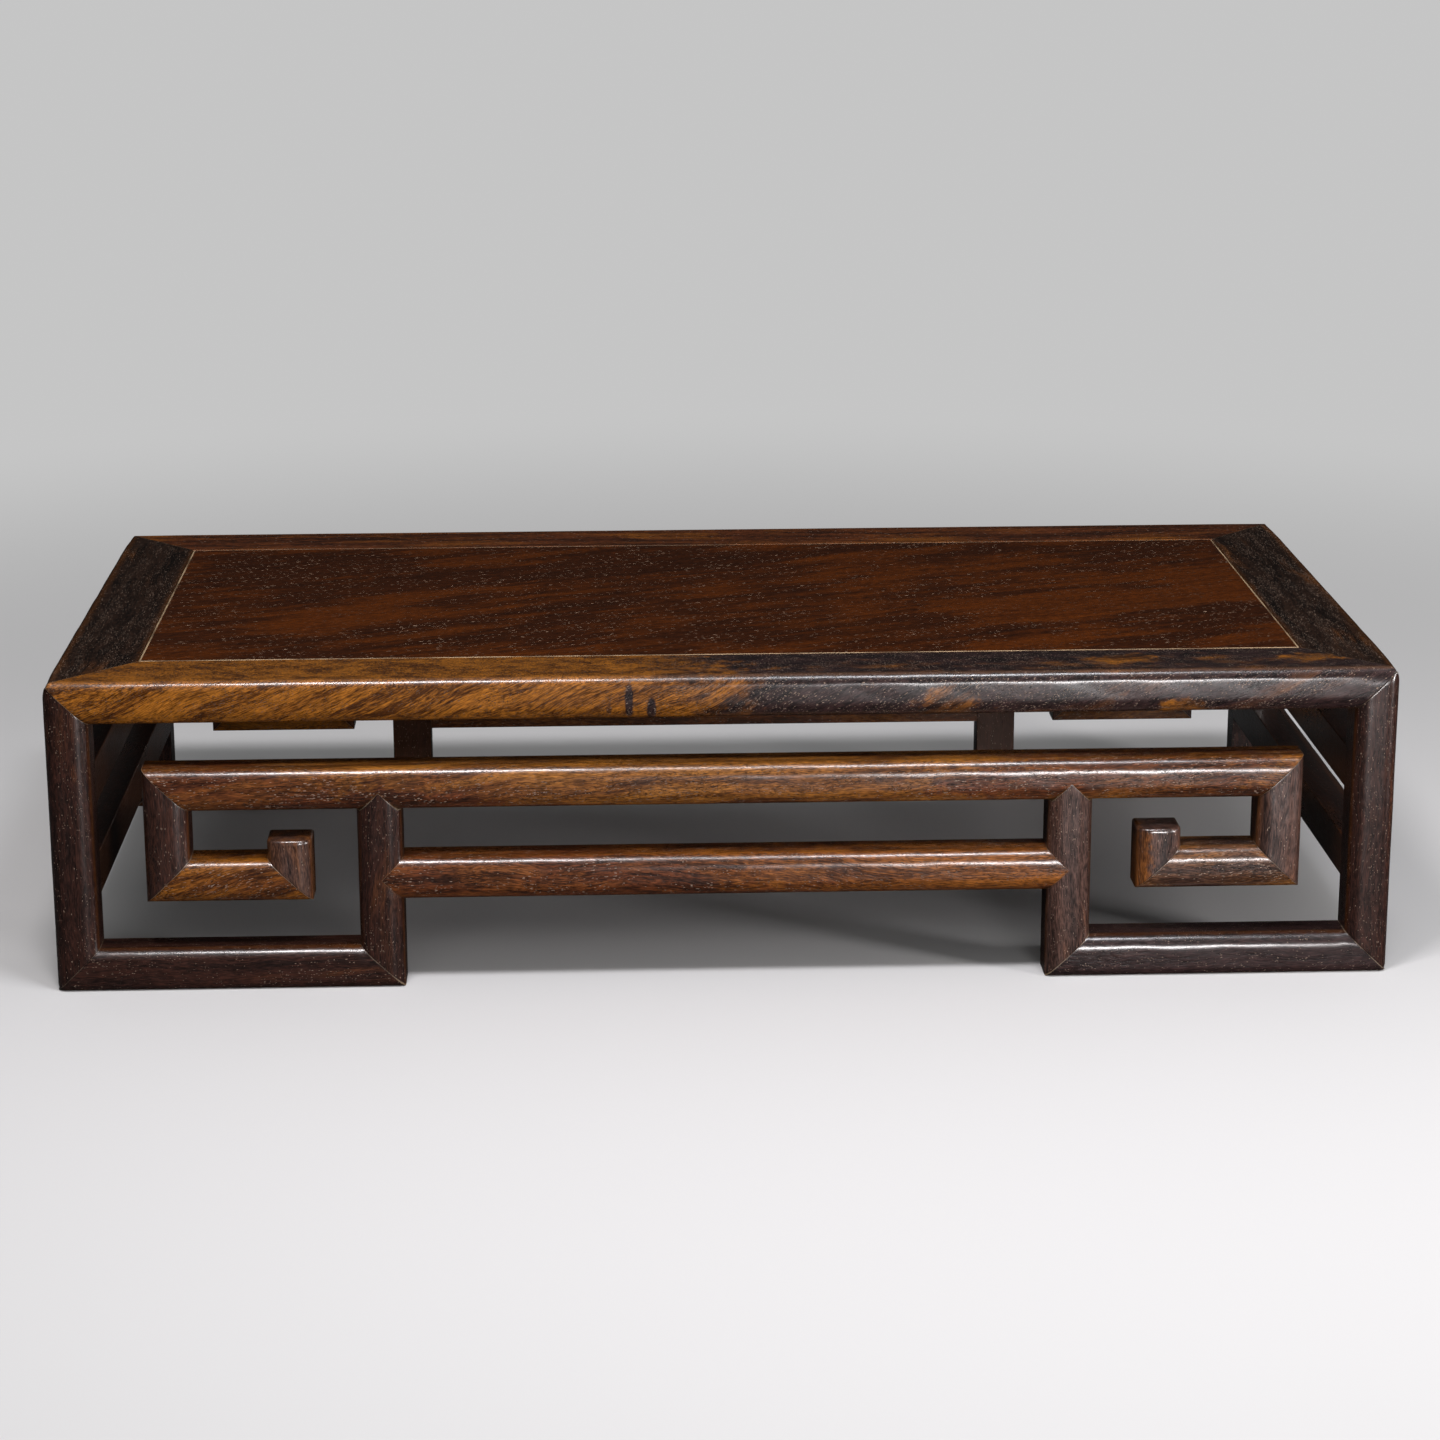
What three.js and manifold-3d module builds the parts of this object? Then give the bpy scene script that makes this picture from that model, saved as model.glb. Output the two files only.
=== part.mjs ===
import * as THREE from 'three';
import { mergeVertices } from 'three/addons/utils/BufferGeometryUtils.js';
import Module from 'manifold-3d';

// A low table: a framed top with a floating panel, four corner posts, and squared-scroll
// fret frames on both long sides. Millimetres, +Z up. The origin is on the floor under the
// middle of the table, and the front long side faces -Y.

// Plan of the whole table
const LENGTH = 604;
const DEPTH = 310;
const CORNER_ROUND = 6;

// Top frame and its panel
const TOP_THICKNESS = 19.5;
const LONG_RAIL_WIDTH = 40;
const END_RAIL_WIDTH = 38;
const TOP_EDGE_ROUND = 3.5;
const PANEL_THICKNESS = 9;
const TONGUE_THICKNESS = 4.5;
const TONGUE_REACH = 5;
const PANEL_GAP = 0.5;

// Battens under the panel
const BATTEN_SPACING = 220;
const BATTEN_WIDTH = 24;
const BATTEN_RECESS = 1.5;
const BATTEN_SHOULDER = 1.8;
const DOVETAIL_HEIGHT = 3;
const DOVETAIL_WIDTH = 14;
const DOVETAIL_NECK = 10;

// Posts, fret members and side rails
const POST_WIDTH = 19.5;
const UPRIGHT_WIDTH = 20;
const RAIL_HEIGHT = 19.5;
const FOOT_HEIGHT = 19;
const FRET_DEPTH = 19.5;
const SIDE_RAIL_DEPTH = 19.5;
const FACE_ROUND = 5.5;
const FLOOR_ROUND = 3;

// Clear heights, from the floor up
const FOOT_GAP = 22;
const MIDDLE_GAP = 22.8;
const TOP_GAP = 21.2;
const TIP_RISE = 9.5;

// Clear widths of the fret, from the post towards the middle
const POST_GAP = 22.3;
const CURL_GAP = 34.5;
const TIP_GAP = 20.5;

// Joints
const JOINT_GAP = 0.3;
const LIP_DEPTH = 6.5;
const UPRIGHT_POINT_INSET = 1.7;
const RAIL_POINT_INSET = 0.25;
const TENON_THICKNESS = 5.5;
const TENON_SETBACK = 8.5;
const TENON_SHOULDER = 5;
const TENON_LENGTH = 11;
const TENON_COVER = 4.5;
const MITRE_TENON_START = 9;
const MITRE_TENON_SHOULDER = 3.5;
const POST_TENON_WIDTH = 4;
const CORNER_TENON_MARGIN = 2;

// Steps of each rounded edge, and how far a cutter runs past the wood
const ROUND_STEPS = 3;
const OVERRUN = 1;

// Heights worked out from the above
const lowerBottom = FOOT_HEIGHT + FOOT_GAP;
const lowerTop = lowerBottom + RAIL_HEIGHT;
const upperBottom = lowerTop + MIDDLE_GAP;
const upperTop = upperBottom + RAIL_HEIGHT;
const frameBottom = upperTop + TOP_GAP;
const height = frameBottom + TOP_THICKNESS;
const panelBottom = height - PANEL_THICKNESS;
const battenTop = panelBottom - JOINT_GAP;
const battenBottom = frameBottom + BATTEN_RECESS;
const tipTop = lowerTop + TIP_RISE;

// Distances from the middle along the length
const endX = LENGTH / 2;
const postX = endX - POST_WIDTH;
const scrollOuterX = postX - POST_GAP;
const scrollInnerX = scrollOuterX - UPRIGHT_WIDTH;
const tipOuterX = scrollInnerX - CURL_GAP;
const tipInnerX = tipOuterX - UPRIGHT_WIDTH;
const uprightOuterX = tipInnerX - TIP_GAP;
const uprightInnerX = uprightOuterX - UPRIGHT_WIDTH;
const uprightMiddleX = (uprightOuterX + uprightInnerX) / 2;
const panelX = endX - END_RAIL_WIDTH;

// Distances across the depth; the front frame lies between faceY and fretBackY
const faceY = -DEPTH / 2;
const fretBackY = faceY + FRET_DEPTH;
const postBackY = faceY + POST_WIDTH;
const panelY = -faceY - LONG_RAIL_WIDTH;
const uprightPoint = UPRIGHT_WIDTH / 2 - UPRIGHT_POINT_INSET;
const railPoint = RAIL_HEIGHT / 2 - RAIL_POINT_INSET;
const pointEase = JOINT_GAP * Math.SQRT2;

const wasm = await Module();
wasm.setup();

// A closed three.js geometry as a solid that can be joined and cut
function solidOf(geometry) {
  geometry.deleteAttribute('normal');
  geometry.deleteAttribute('uv');
  const merged = mergeVertices(geometry, 1e-5);
  return new wasm.Manifold(new wasm.Mesh({
    numProp: 3,
    vertProperties: new Float32Array(merged.attributes.position.array),
    triVerts: new Uint32Array(merged.index.array),
  }));
}

// The solid back as a three.js geometry with its own normals
function geometryOf(solid) {
  const mesh = solid.getMesh();
  const geometry = new THREE.BufferGeometry();
  geometry.setAttribute('position', new THREE.BufferAttribute(mesh.vertProperties, 3));
  geometry.setIndex(new THREE.BufferAttribute(mesh.triVerts, 1));
  geometry.computeVertexNormals();
  return geometry;
}

// A block between two places on each axis, grown on every side by `grow`
function block(x, y, z, grow = 0) {
  const sizes = [x, y, z].map(([a, b]) => Math.abs(b - a) + 2 * grow);
  const geometry = new THREE.BoxGeometry(...sizes);
  geometry.translate((x[0] + x[1]) / 2, (y[0] + y[1]) / 2, (z[0] + z[1]) / 2);
  return solidOf(geometry);
}

// An outline of [first, second, radius] corners, each radius rounding a square corner
function outline(corners) {
  const shape = new THREE.Shape();
  corners.forEach(([u, v, radius = 0], i) => {
    const corner = new THREE.Vector2(u, v);
    const before = corners[(i + corners.length - 1) % corners.length];
    const after = corners[(i + 1) % corners.length];
    const back = new THREE.Vector2(before[0], before[1]).sub(corner).setLength(radius);
    const on = new THREE.Vector2(after[0], after[1]).sub(corner).setLength(radius);
    if (radius > 0) {
      const centre = corner.clone().add(back).add(on);
      const clockwise = back.cross(on) > 0;
      if (i === 0) shape.moveTo(u + back.x, v + back.y);
      else shape.lineTo(u + back.x, v + back.y);
      const start = Math.atan2(-on.y, -on.x);
      const end = Math.atan2(-back.y, -back.x);
      shape.absarc(centre.x, centre.y, radius, start, end, clockwise);
    } else if (i === 0) {
      shape.moveTo(u, v);
    } else {
      shape.lineTo(u, v);
    }
  });
  return shape;
}

// How an outline's two directions and its length lie in the table: a section along X is
// drawn in Y and Z, a front view in X and Z, and a plan in X and Y
const VIEWS = {
  alongX: new THREE.Matrix4().set(0, 0, 1, 0, 1, 0, 0, 0, 0, 1, 0, 0, 0, 0, 0, 1),
  alongY: new THREE.Matrix4().set(1, 0, 0, 0, 0, 0, -1, 0, 0, 1, 0, 0, 0, 0, 0, 1),
  alongZ: new THREE.Matrix4(),
};

// The prism of an outline between two places along its view's axis
function prism(view, corners, from, to) {
  const geometry = new THREE.ExtrudeGeometry(outline(corners), {
    depth: to - from,
    bevelEnabled: false,
    curveSegments: ROUND_STEPS,
  });
  geometry.translate(0, 0, view === 'alongY' ? -to : from);
  geometry.applyMatrix4(VIEWS[view]);
  return solidOf(geometry);
}

// Corners with their first direction turned to one side of the middle
const mirrored = (side, corners) => corners.map(([u, ...rest]) => [side * u, ...rest]);
const mirroredSpan = (side, [a, b]) => (side > 0 ? [a, b] : [-b, -a]);

// Half the joint gap, measured along one leg of a mitre of the given run and rise
const mitreEase = (along, across) => (JOINT_GAP / 2) * Math.hypot(along, across) / across;

// Everything under or in the top stays within this rounded plan
const tablePlan = (bottom, top) => prism('alongZ', [
  [-endX, faceY, CORNER_ROUND],
  [endX, faceY, CORNER_ROUND],
  [endX, -faceY, CORNER_ROUND],
  [-endX, -faceY, CORNER_ROUND],
], bottom, top);

// Depth of a tenon behind a face, as a span of Y for the front frame
const tenonY = [faceY + TENON_SETBACK, faceY + TENON_SETBACK + TENON_THICKNESS];

// The tenon in a mitred corner. It lies in the horizontal member, and reaches from the
// corner's inner edge at innerX towards its outer edge at outerX. Its heights are counted
// from the corner's outer edge at outerZ towards the inner one at innerZ.
function mitreTenon(side, outerX, innerX, outerZ, innerZ, grow) {
  const inward = Math.sign(innerX - outerX);
  const up = Math.sign(innerZ - outerZ);
  const x = [outerX + inward * TENON_COVER, innerX + inward * OVERRUN];
  const z = [outerZ + up * MITRE_TENON_START, innerZ - up * MITRE_TENON_SHOULDER];
  return block(x.map((place) => side * place), tenonY, z, grow);
}

// Joints of the front frame, each as its tenon; a mortise is the same tenon grown
const footToPost = (side, grow) => mitreTenon(side, endX, postX, 0, FOOT_HEIGHT, grow);
const footToUpright = (side, grow) => (
  mitreTenon(side, uprightInnerX, uprightOuterX, 0, FOOT_HEIGHT, grow)
);
const railToScroll = (side, grow) => (
  mitreTenon(side, scrollOuterX, scrollInnerX, upperTop, upperBottom, grow)
);
const scrollRailToScroll = (side, grow) => (
  mitreTenon(side, scrollOuterX, scrollInnerX, lowerBottom, lowerTop, grow)
);
const scrollRailToTip = (side, grow) => (
  mitreTenon(side, tipInnerX, tipOuterX, lowerBottom, lowerTop, grow)
);

// The tenon of an inner upright in the upper rail
function uprightToRail(side, grow) {
  const x = [uprightInnerX + TENON_SHOULDER, uprightOuterX - TENON_SHOULDER];
  return block(mirroredSpan(side, x), tenonY, [upperBottom - OVERRUN, upperBottom + TENON_LENGTH], grow);
}

// The tenon of the lower rail in an inner upright
function lowerRailToUpright(side, grow) {
  const x = [uprightInnerX - OVERRUN, uprightInnerX + TENON_LENGTH];
  const z = [lowerBottom + TENON_SHOULDER, lowerTop - TENON_SHOULDER];
  return block(mirroredSpan(side, x), tenonY, z, grow);
}

// The triangle of a pointed shoulder whose sides slope at 45 degrees: it reaches `reach`
// past the line at `base`, pointing up or across, and is drawn from `below` under that line
function pointUp(middle, base, reach, below) {
  const half = reach + below;
  return [[middle - half, base - below], [middle + half, base - below], [middle, base + reach]];
}

function pointAcross(base, way, middle, reach, below) {
  const half = reach + below;
  const root = base - way * below;
  return [[root, middle - half], [root, middle + half], [base + way * reach, middle]];
}

const lipBack = faceY + LIP_DEPTH;
const notchBack = lipBack + JOINT_GAP;
const lipRoot = JOINT_GAP + OVERRUN;

// The lip of an inner upright on the upper rail's face, and the notch for it
const uprightLip = (side) => prism(
  'alongY',
  mirrored(side, pointUp(uprightMiddleX, upperBottom, uprightPoint - pointEase, lipRoot)),
  faceY,
  lipBack,
);
const uprightNotch = (side) => prism(
  'alongY',
  mirrored(side, pointUp(uprightMiddleX, upperBottom, uprightPoint, OVERRUN)),
  faceY - OVERRUN,
  notchBack,
);

// The lip of the lower rail on an inner upright's face, and the notch for it
const lowerMiddle = (lowerBottom + lowerTop) / 2;
const lowerRailLip = (side) => prism(
  'alongY',
  mirrored(side, pointAcross(uprightInnerX, 1, lowerMiddle, railPoint - pointEase, lipRoot)),
  faceY,
  lipBack,
);
const lowerRailNotch = (side) => prism(
  'alongY',
  mirrored(side, pointAcross(uprightInnerX, 1, lowerMiddle, railPoint, OVERRUN)),
  faceY - OVERRUN,
  notchBack,
);

// Section of a horizontal fret member between two heights, and of an upright one
const railSection = (bottom, top, x, lowRound = FACE_ROUND) => prism('alongX', [
  [faceY, bottom, lowRound],
  [fretBackY, bottom],
  [fretBackY, top],
  [faceY, top, FACE_ROUND],
], ...x);
const uprightSection = (side, inner, outer, z) => prism('alongZ', mirrored(side, [
  [inner, faceY, FACE_ROUND],
  [outer, faceY, FACE_ROUND],
  [outer, fretBackY],
  [inner, fretBackY],
]), ...z);

// A front view through the whole depth of the front frame
const frontView = (side, corners) => prism('alongY', mirrored(side, corners), faceY, fretBackY);

// Mitre allowances, first on the horizontal member and then on the upright one
const railEase = mitreEase(UPRIGHT_WIDTH, RAIL_HEIGHT);
const scrollEase = mitreEase(RAIL_HEIGHT, UPRIGHT_WIDTH);
const footEase = mitreEase(UPRIGHT_WIDTH, FOOT_HEIGHT);
const uprightEase = mitreEase(FOOT_HEIGHT, UPRIGHT_WIDTH);
const footPostEase = mitreEase(POST_WIDTH, FOOT_HEIGHT);
const postFootEase = mitreEase(FOOT_HEIGHT, POST_WIDTH);

// Foot rail: mitred to the post outside and to the inner upright inside
function footRail(side) {
  const span = mirroredSpan(side, [uprightInnerX, endX]);
  return railSection(0, FOOT_HEIGHT, span, FLOOR_ROUND)
    .intersect(tablePlan(0, FOOT_HEIGHT))
    .intersect(frontView(side, [
      [uprightInnerX + footEase, 0],
      [endX - footPostEase, 0],
      [postX - footPostEase, FOOT_HEIGHT],
      [uprightOuterX + footEase, FOOT_HEIGHT],
    ]))
    .add(footToPost(side))
    .add(footToUpright(side));
}

// Inner upright: stands on the floor, carries the lower rail and the upper rail
function innerUpright(side) {
  const body = frontView(side, [
    [uprightInnerX, uprightEase],
    [uprightOuterX, FOOT_HEIGHT + uprightEase],
    [uprightOuterX, upperBottom - JOINT_GAP],
    [uprightInnerX, upperBottom - JOINT_GAP],
  ]);
  return body
    .add(uprightLip(side))
    .intersect(uprightSection(side, uprightInnerX, uprightOuterX, [0, upperTop]))
    .add(uprightToRail(side))
    .subtract(footToUpright(side, JOINT_GAP))
    .subtract(lowerRailToUpright(side, JOINT_GAP))
    .subtract(lowerRailNotch(side));
}

// Upper rail: rests on the inner uprights and carries a scroll at each end
function upperRail() {
  let rail = railSection(upperBottom, upperTop, [-scrollOuterX, scrollOuterX])
    .intersect(frontView(1, [
      [-scrollOuterX + railEase, upperTop],
      [scrollOuterX - railEase, upperTop],
      [scrollInnerX - railEase, upperBottom],
      [-scrollInnerX + railEase, upperBottom],
    ]));
  for (const side of [-1, 1]) {
    rail = rail
      .add(railToScroll(side))
      .subtract(uprightToRail(side, JOINT_GAP))
      .subtract(uprightNotch(side));
  }
  return rail;
}

// Lower rail: between the inner uprights, with a pointed shoulder at each end
function lowerRail() {
  const bodyX = uprightInnerX - JOINT_GAP;
  let rail = frontView(1, [
    [-bodyX, lowerBottom],
    [bodyX, lowerBottom],
    [bodyX, lowerTop],
    [-bodyX, lowerTop],
  ]).add(lowerRailLip(-1)).add(lowerRailLip(1));
  rail = rail.intersect(railSection(lowerBottom, lowerTop, [-uprightOuterX, uprightOuterX]));
  return rail.add(lowerRailToUpright(-1)).add(lowerRailToUpright(1));
}

// Scroll upright: hangs from the end of the upper rail
function scrollUpright(side) {
  return uprightSection(side, scrollInnerX, scrollOuterX, [lowerBottom, upperTop])
    .intersect(frontView(side, [
      [scrollOuterX, lowerBottom + scrollEase],
      [scrollOuterX, upperTop - scrollEase],
      [scrollInnerX, upperBottom - scrollEase],
      [scrollInnerX, lowerTop + scrollEase],
    ]))
    .subtract(railToScroll(side, JOINT_GAP))
    .subtract(scrollRailToScroll(side, JOINT_GAP));
}

// Scroll rail: runs back from the foot of the scroll upright towards the middle
function scrollRail(side) {
  const span = mirroredSpan(side, [tipInnerX, scrollOuterX]);
  return railSection(lowerBottom, lowerTop, span)
    .intersect(frontView(side, [
      [tipInnerX + railEase, lowerBottom],
      [scrollOuterX - railEase, lowerBottom],
      [scrollInnerX - railEase, lowerTop],
      [tipOuterX + railEase, lowerTop],
    ]))
    .add(scrollRailToScroll(side))
    .add(scrollRailToTip(side));
}

// Scroll tip: the short stub that ends the scroll
function scrollTip(side) {
  return uprightSection(side, tipInnerX, tipOuterX, [lowerBottom, tipTop])
    .intersect(frontView(side, [
      [tipInnerX, lowerBottom + scrollEase],
      [tipInnerX, tipTop],
      [tipOuterX, tipTop],
      [tipOuterX, lowerTop + scrollEase],
    ]))
    .subtract(scrollRailToTip(side, JOINT_GAP));
}

// The two tenons on a post's head: one in the long rail, one in the end rail
const headNear = TENON_COVER;
const headFar = headNear + POST_TENON_WIDTH;
const headStart = headFar + JOINT_GAP + pointEase;
const headEnd = POST_WIDTH - TENON_COVER;
const headZ = [frameBottom - OVERRUN, height - TENON_COVER];
const postToLongRail = (side, grow) => block(
  mirroredSpan(side, [endX - headEnd, endX - headStart]),
  [faceY + headNear, faceY + headFar],
  headZ,
  grow,
);
const postToEndRail = (side, grow) => block(
  mirroredSpan(side, [endX - headFar, endX - headNear]),
  [faceY + headStart, faceY + headEnd],
  headZ,
  grow,
);

// Side rails stand at two heights, between the posts at one end of the table
const SIDE_RAILS = { lower: lowerBottom, upper: upperBottom };

// The tenon of a side rail in the front post, on one side of the table
function sideRailToPost(side, bottom, grow) {
  const x = [endX - TENON_SETBACK - TENON_THICKNESS, endX - TENON_SETBACK];
  const y = [postBackY - TENON_LENGTH, postBackY + OVERRUN];
  const z = [bottom + TENON_SHOULDER, bottom + RAIL_HEIGHT - TENON_SHOULDER];
  return block(mirroredSpan(side, x), y, z, grow);
}

// The pointed shoulder of a side rail on the post's outer face, drawn in Y and Z
function sideRailPoint(side, bottom, reach, below, depth, clear) {
  const corners = pointAcross(postBackY, -1, bottom + RAIL_HEIGHT / 2, reach, below);
  return prism('alongX', corners, ...mirroredSpan(side, [endX - depth, endX + clear]));
}

// Corner post: three-way mitre at the head, mitred to the foot rail at the floor
function cornerPost(side) {
  const headEase = mitreEase(TOP_THICKNESS, POST_WIDTH);
  let post = prism('alongZ', mirrored(side, [
    [postX, faceY, FACE_ROUND],
    [endX, faceY, CORNER_ROUND],
    [endX, postBackY, FACE_ROUND],
    [postX, postBackY],
  ]), 0, height);
  post = post
    .intersect(prism('alongY', mirrored(side, [
      [endX, postFootEase],
      [endX, height - headEase],
      [postX, frameBottom - headEase],
      [postX, FOOT_HEIGHT + postFootEase],
    ]), faceY, postBackY))
    .intersect(prism('alongX', [
      [faceY, 0],
      [postBackY, 0],
      [postBackY, frameBottom - headEase],
      [faceY, height - headEase],
    ], ...mirroredSpan(side, [postX, endX])))
    .add(postToLongRail(side))
    .add(postToEndRail(side))
    .subtract(footToPost(side, JOINT_GAP));
  for (const bottom of Object.values(SIDE_RAILS)) {
    post = post
      .subtract(sideRailToPost(side, bottom, JOINT_GAP))
      .subtract(sideRailPoint(side, bottom, railPoint, OVERRUN, LIP_DEPTH + JOINT_GAP, OVERRUN));
  }
  return post;
}

// Turns a solid half round about the middle of the table
const halfRound = (solid) => solid.rotate([0, 0, 180]);

// Side rail of the left end, joined to the front and back posts alike
function sideRail(bottom) {
  const top = bottom + RAIL_HEIGHT;
  const shoulderY = -postBackY - JOINT_GAP;
  const body = prism('alongX', [
    [-shoulderY, bottom],
    [shoulderY, bottom],
    [shoulderY, top],
    [-shoulderY, top],
  ], -endX, -endX + SIDE_RAIL_DEPTH);
  const section = prism('alongY', [
    [-endX, bottom, FACE_ROUND],
    [-endX + SIDE_RAIL_DEPTH, bottom],
    [-endX + SIDE_RAIL_DEPTH, top],
    [-endX, top, FACE_ROUND],
  ], faceY, -faceY);
  const reach = railPoint - pointEase;
  return body
    .add(sideRailPoint(-1, bottom, reach, lipRoot, LIP_DEPTH, 0))
    .add(halfRound(sideRailPoint(1, bottom, reach, lipRoot, LIP_DEPTH, 0)))
    .intersect(section)
    .add(sideRailToPost(-1, bottom))
    .add(halfRound(sideRailToPost(1, bottom)));
}

// The tongue of the panel, and the groove that takes it, as one flat block
function tongue(grow = 0) {
  const x = panelX + TONGUE_REACH;
  const y = panelY + TONGUE_REACH;
  return block([-x, x], [-y, y], [panelBottom, panelBottom + TONGUE_THICKNESS], grow);
}

// The tenon of the long rail in the end rail, at one side of the front
function longRailToEndRail(side, grow) {
  const x = [panelX - OVERRUN, endX - TENON_COVER];
  const near = postBackY + CORNER_TENON_MARGIN;
  const far = -panelY - TONGUE_REACH - CORNER_TENON_MARGIN;
  const middle = (height + frameBottom) / 2;
  const z = [middle - TENON_THICKNESS / 2, middle + TENON_THICKNESS / 2];
  return block(mirroredSpan(side, x), [near, far], z, grow);
}

// The tenon of a batten in the front long rail
function battenTenon(middle, grow) {
  const half = BATTEN_WIDTH / 2 - TENON_SHOULDER;
  const y = [-panelY - TENON_LENGTH, -panelY + OVERRUN];
  const z = [battenBottom + BATTEN_SHOULDER, battenTop - BATTEN_SHOULDER];
  return block([middle - half, middle + half], y, z, grow);
}

const battenMiddles = [-BATTEN_SPACING / 2, BATTEN_SPACING / 2];
const planEase = mitreEase(END_RAIL_WIDTH, LONG_RAIL_WIDTH);
const endPlanEase = mitreEase(LONG_RAIL_WIDTH, END_RAIL_WIDTH);
const headShift = mitreEase(POST_WIDTH, TOP_THICKNESS);

// Long rail of the top frame, in its place at the front
function longRail() {
  let rail = prism('alongX', [
    [faceY, frameBottom, FACE_ROUND],
    [-panelY, frameBottom],
    [-panelY, height],
    [faceY, height, TOP_EDGE_ROUND],
  ], -endX, endX);
  rail = rail
    .intersect(tablePlan(frameBottom, height))
    .intersect(prism('alongY', [
      [-endX + headShift, height],
      [endX - headShift, height],
      [postX - headShift, frameBottom],
      [-postX + headShift, frameBottom],
    ], faceY, -panelY))
    .intersect(prism('alongZ', [
      [-endX + planEase, faceY],
      [endX - planEase, faceY],
      [panelX - planEase, -panelY],
      [-panelX + planEase, -panelY],
    ], frameBottom, height));
  for (const side of [-1, 1]) {
    rail = rail
      .add(longRailToEndRail(side))
      .subtract(postToLongRail(side, JOINT_GAP));
  }
  for (const middle of battenMiddles) rail = rail.subtract(battenTenon(middle, JOINT_GAP));
  return rail.subtract(tongue(JOINT_GAP));
}

// End rail of the top frame, in its place at the left
function endRail() {
  let rail = prism('alongY', [
    [-endX, frameBottom, FACE_ROUND],
    [-panelX, frameBottom],
    [-panelX, height],
    [-endX, height, TOP_EDGE_ROUND],
  ], faceY, -faceY);
  rail = rail
    .intersect(tablePlan(frameBottom, height))
    .intersect(prism('alongX', [
      [faceY + headShift, height],
      [-faceY - headShift, height],
      [-postBackY - headShift, frameBottom],
      [postBackY + headShift, frameBottom],
    ], -endX, -panelX))
    .intersect(prism('alongZ', [
      [-endX, faceY + endPlanEase],
      [-endX, -faceY - endPlanEase],
      [-panelX, panelY - endPlanEase],
      [-panelX, -panelY + endPlanEase],
    ], frameBottom, height))
    .subtract(longRailToEndRail(-1, JOINT_GAP))
    .subtract(halfRound(longRailToEndRail(1, JOINT_GAP)))
    .subtract(postToEndRail(-1, JOINT_GAP))
    .subtract(halfRound(postToEndRail(1, JOINT_GAP)));
  return rail.subtract(tongue(JOINT_GAP));
}

// The dovetail along a batten's top, drawn in X and Z, widened by `ease` for its slot
const dovetail = (middle, ease, reach) => prism('alongY', [
  [middle - DOVETAIL_NECK / 2 - ease, battenTop - OVERRUN],
  [middle + DOVETAIL_NECK / 2 + ease, battenTop - OVERRUN],
  [middle + DOVETAIL_NECK / 2 + ease, battenTop],
  [middle + DOVETAIL_WIDTH / 2 + ease, panelBottom + DOVETAIL_HEIGHT + ease],
  [middle - DOVETAIL_WIDTH / 2 - ease, panelBottom + DOVETAIL_HEIGHT + ease],
  [middle - DOVETAIL_NECK / 2 - ease, battenTop],
], -reach, reach);

// Panel: its top is level with the frame, and its tongue runs in the frame's groove
function panel() {
  const x = panelX - PANEL_GAP;
  const y = panelY - PANEL_GAP;
  let board = block([-x, x], [-y, y], [panelBottom, height]).add(tongue());
  const past = panelY + TONGUE_REACH + OVERRUN;
  for (const middle of battenMiddles) board = board.subtract(dovetail(middle, JOINT_GAP, past));
  return board;
}

// Batten: slides in the panel's dovetailed slot, with a tenon in each long rail
function batten(middle) {
  const reach = panelY - JOINT_GAP;
  const half = BATTEN_WIDTH / 2;
  return block([middle - half, middle + half], [-reach, reach], [battenBottom, battenTop])
    .add(dovetail(middle, 0, reach))
    .add(battenTenon(middle))
    .add(halfRound(battenTenon(-middle)));
}

// One piece of the table as a named mesh with its own finish
function piece(name, solid, color, roughness = 0.42) {
  const material = new THREE.MeshStandardMaterial({ color, roughness, metalness: 0 });
  const mesh = new THREE.Mesh(geometryOf(solid), material);
  mesh.name = name;
  return mesh;
}

const DARK_WOOD = 0x2c1a13;
const BROWN_WOOD = 0x4a2a17;
const GOLDEN_WOOD = 0x6b4420;
const RED_WOOD = 0x43190e;

// The framed top
function framedTop() {
  const top = new THREE.Group();
  const frontRail = piece('top_front_rail', longRail(), GOLDEN_WOOD);
  const backRail = piece('top_back_rail', longRail(), BROWN_WOOD);
  const leftRail = piece('top_left_rail', endRail(), DARK_WOOD);
  const rightRail = piece('top_right_rail', endRail(), DARK_WOOD);
  backRail.rotation.z = Math.PI;
  rightRail.rotation.z = Math.PI;
  top.add(frontRail, backRail, leftRail, rightRail);
  top.add(piece('top_panel', panel(), RED_WOOD, 0.36));
  top.add(piece('panel_batten_left', batten(battenMiddles[0]), BROWN_WOOD, 0.7));
  top.add(piece('panel_batten_right', batten(battenMiddles[1]), BROWN_WOOD, 0.7));
  return top;
}

// One long side with its two posts; the back is the front turned half round, which brings
// the piece made for the left to the right
function longSide(face, turn) {
  const frame = new THREE.Group();
  frame.rotation.z = turn;
  frame.add(piece(`${face}_upper_rail`, upperRail(), GOLDEN_WOOD));
  frame.add(piece(`${face}_lower_rail`, lowerRail(), BROWN_WOOD));
  for (const side of [-1, 1]) {
    const hand = (side < 0) === (turn === 0) ? 'left' : 'right';
    frame.add(piece(`post_${face}_${hand}`, cornerPost(side), DARK_WOOD));
    frame.add(piece(`${face}_foot_rail_${hand}`, footRail(side), DARK_WOOD));
    frame.add(piece(`${face}_inner_upright_${hand}`, innerUpright(side), DARK_WOOD));
    frame.add(piece(`${face}_scroll_upright_${hand}`, scrollUpright(side), BROWN_WOOD));
    frame.add(piece(`${face}_scroll_rail_${hand}`, scrollRail(side), GOLDEN_WOOD));
    frame.add(piece(`${face}_scroll_tip_${hand}`, scrollTip(side), BROWN_WOOD));
  }
  return frame;
}

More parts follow.
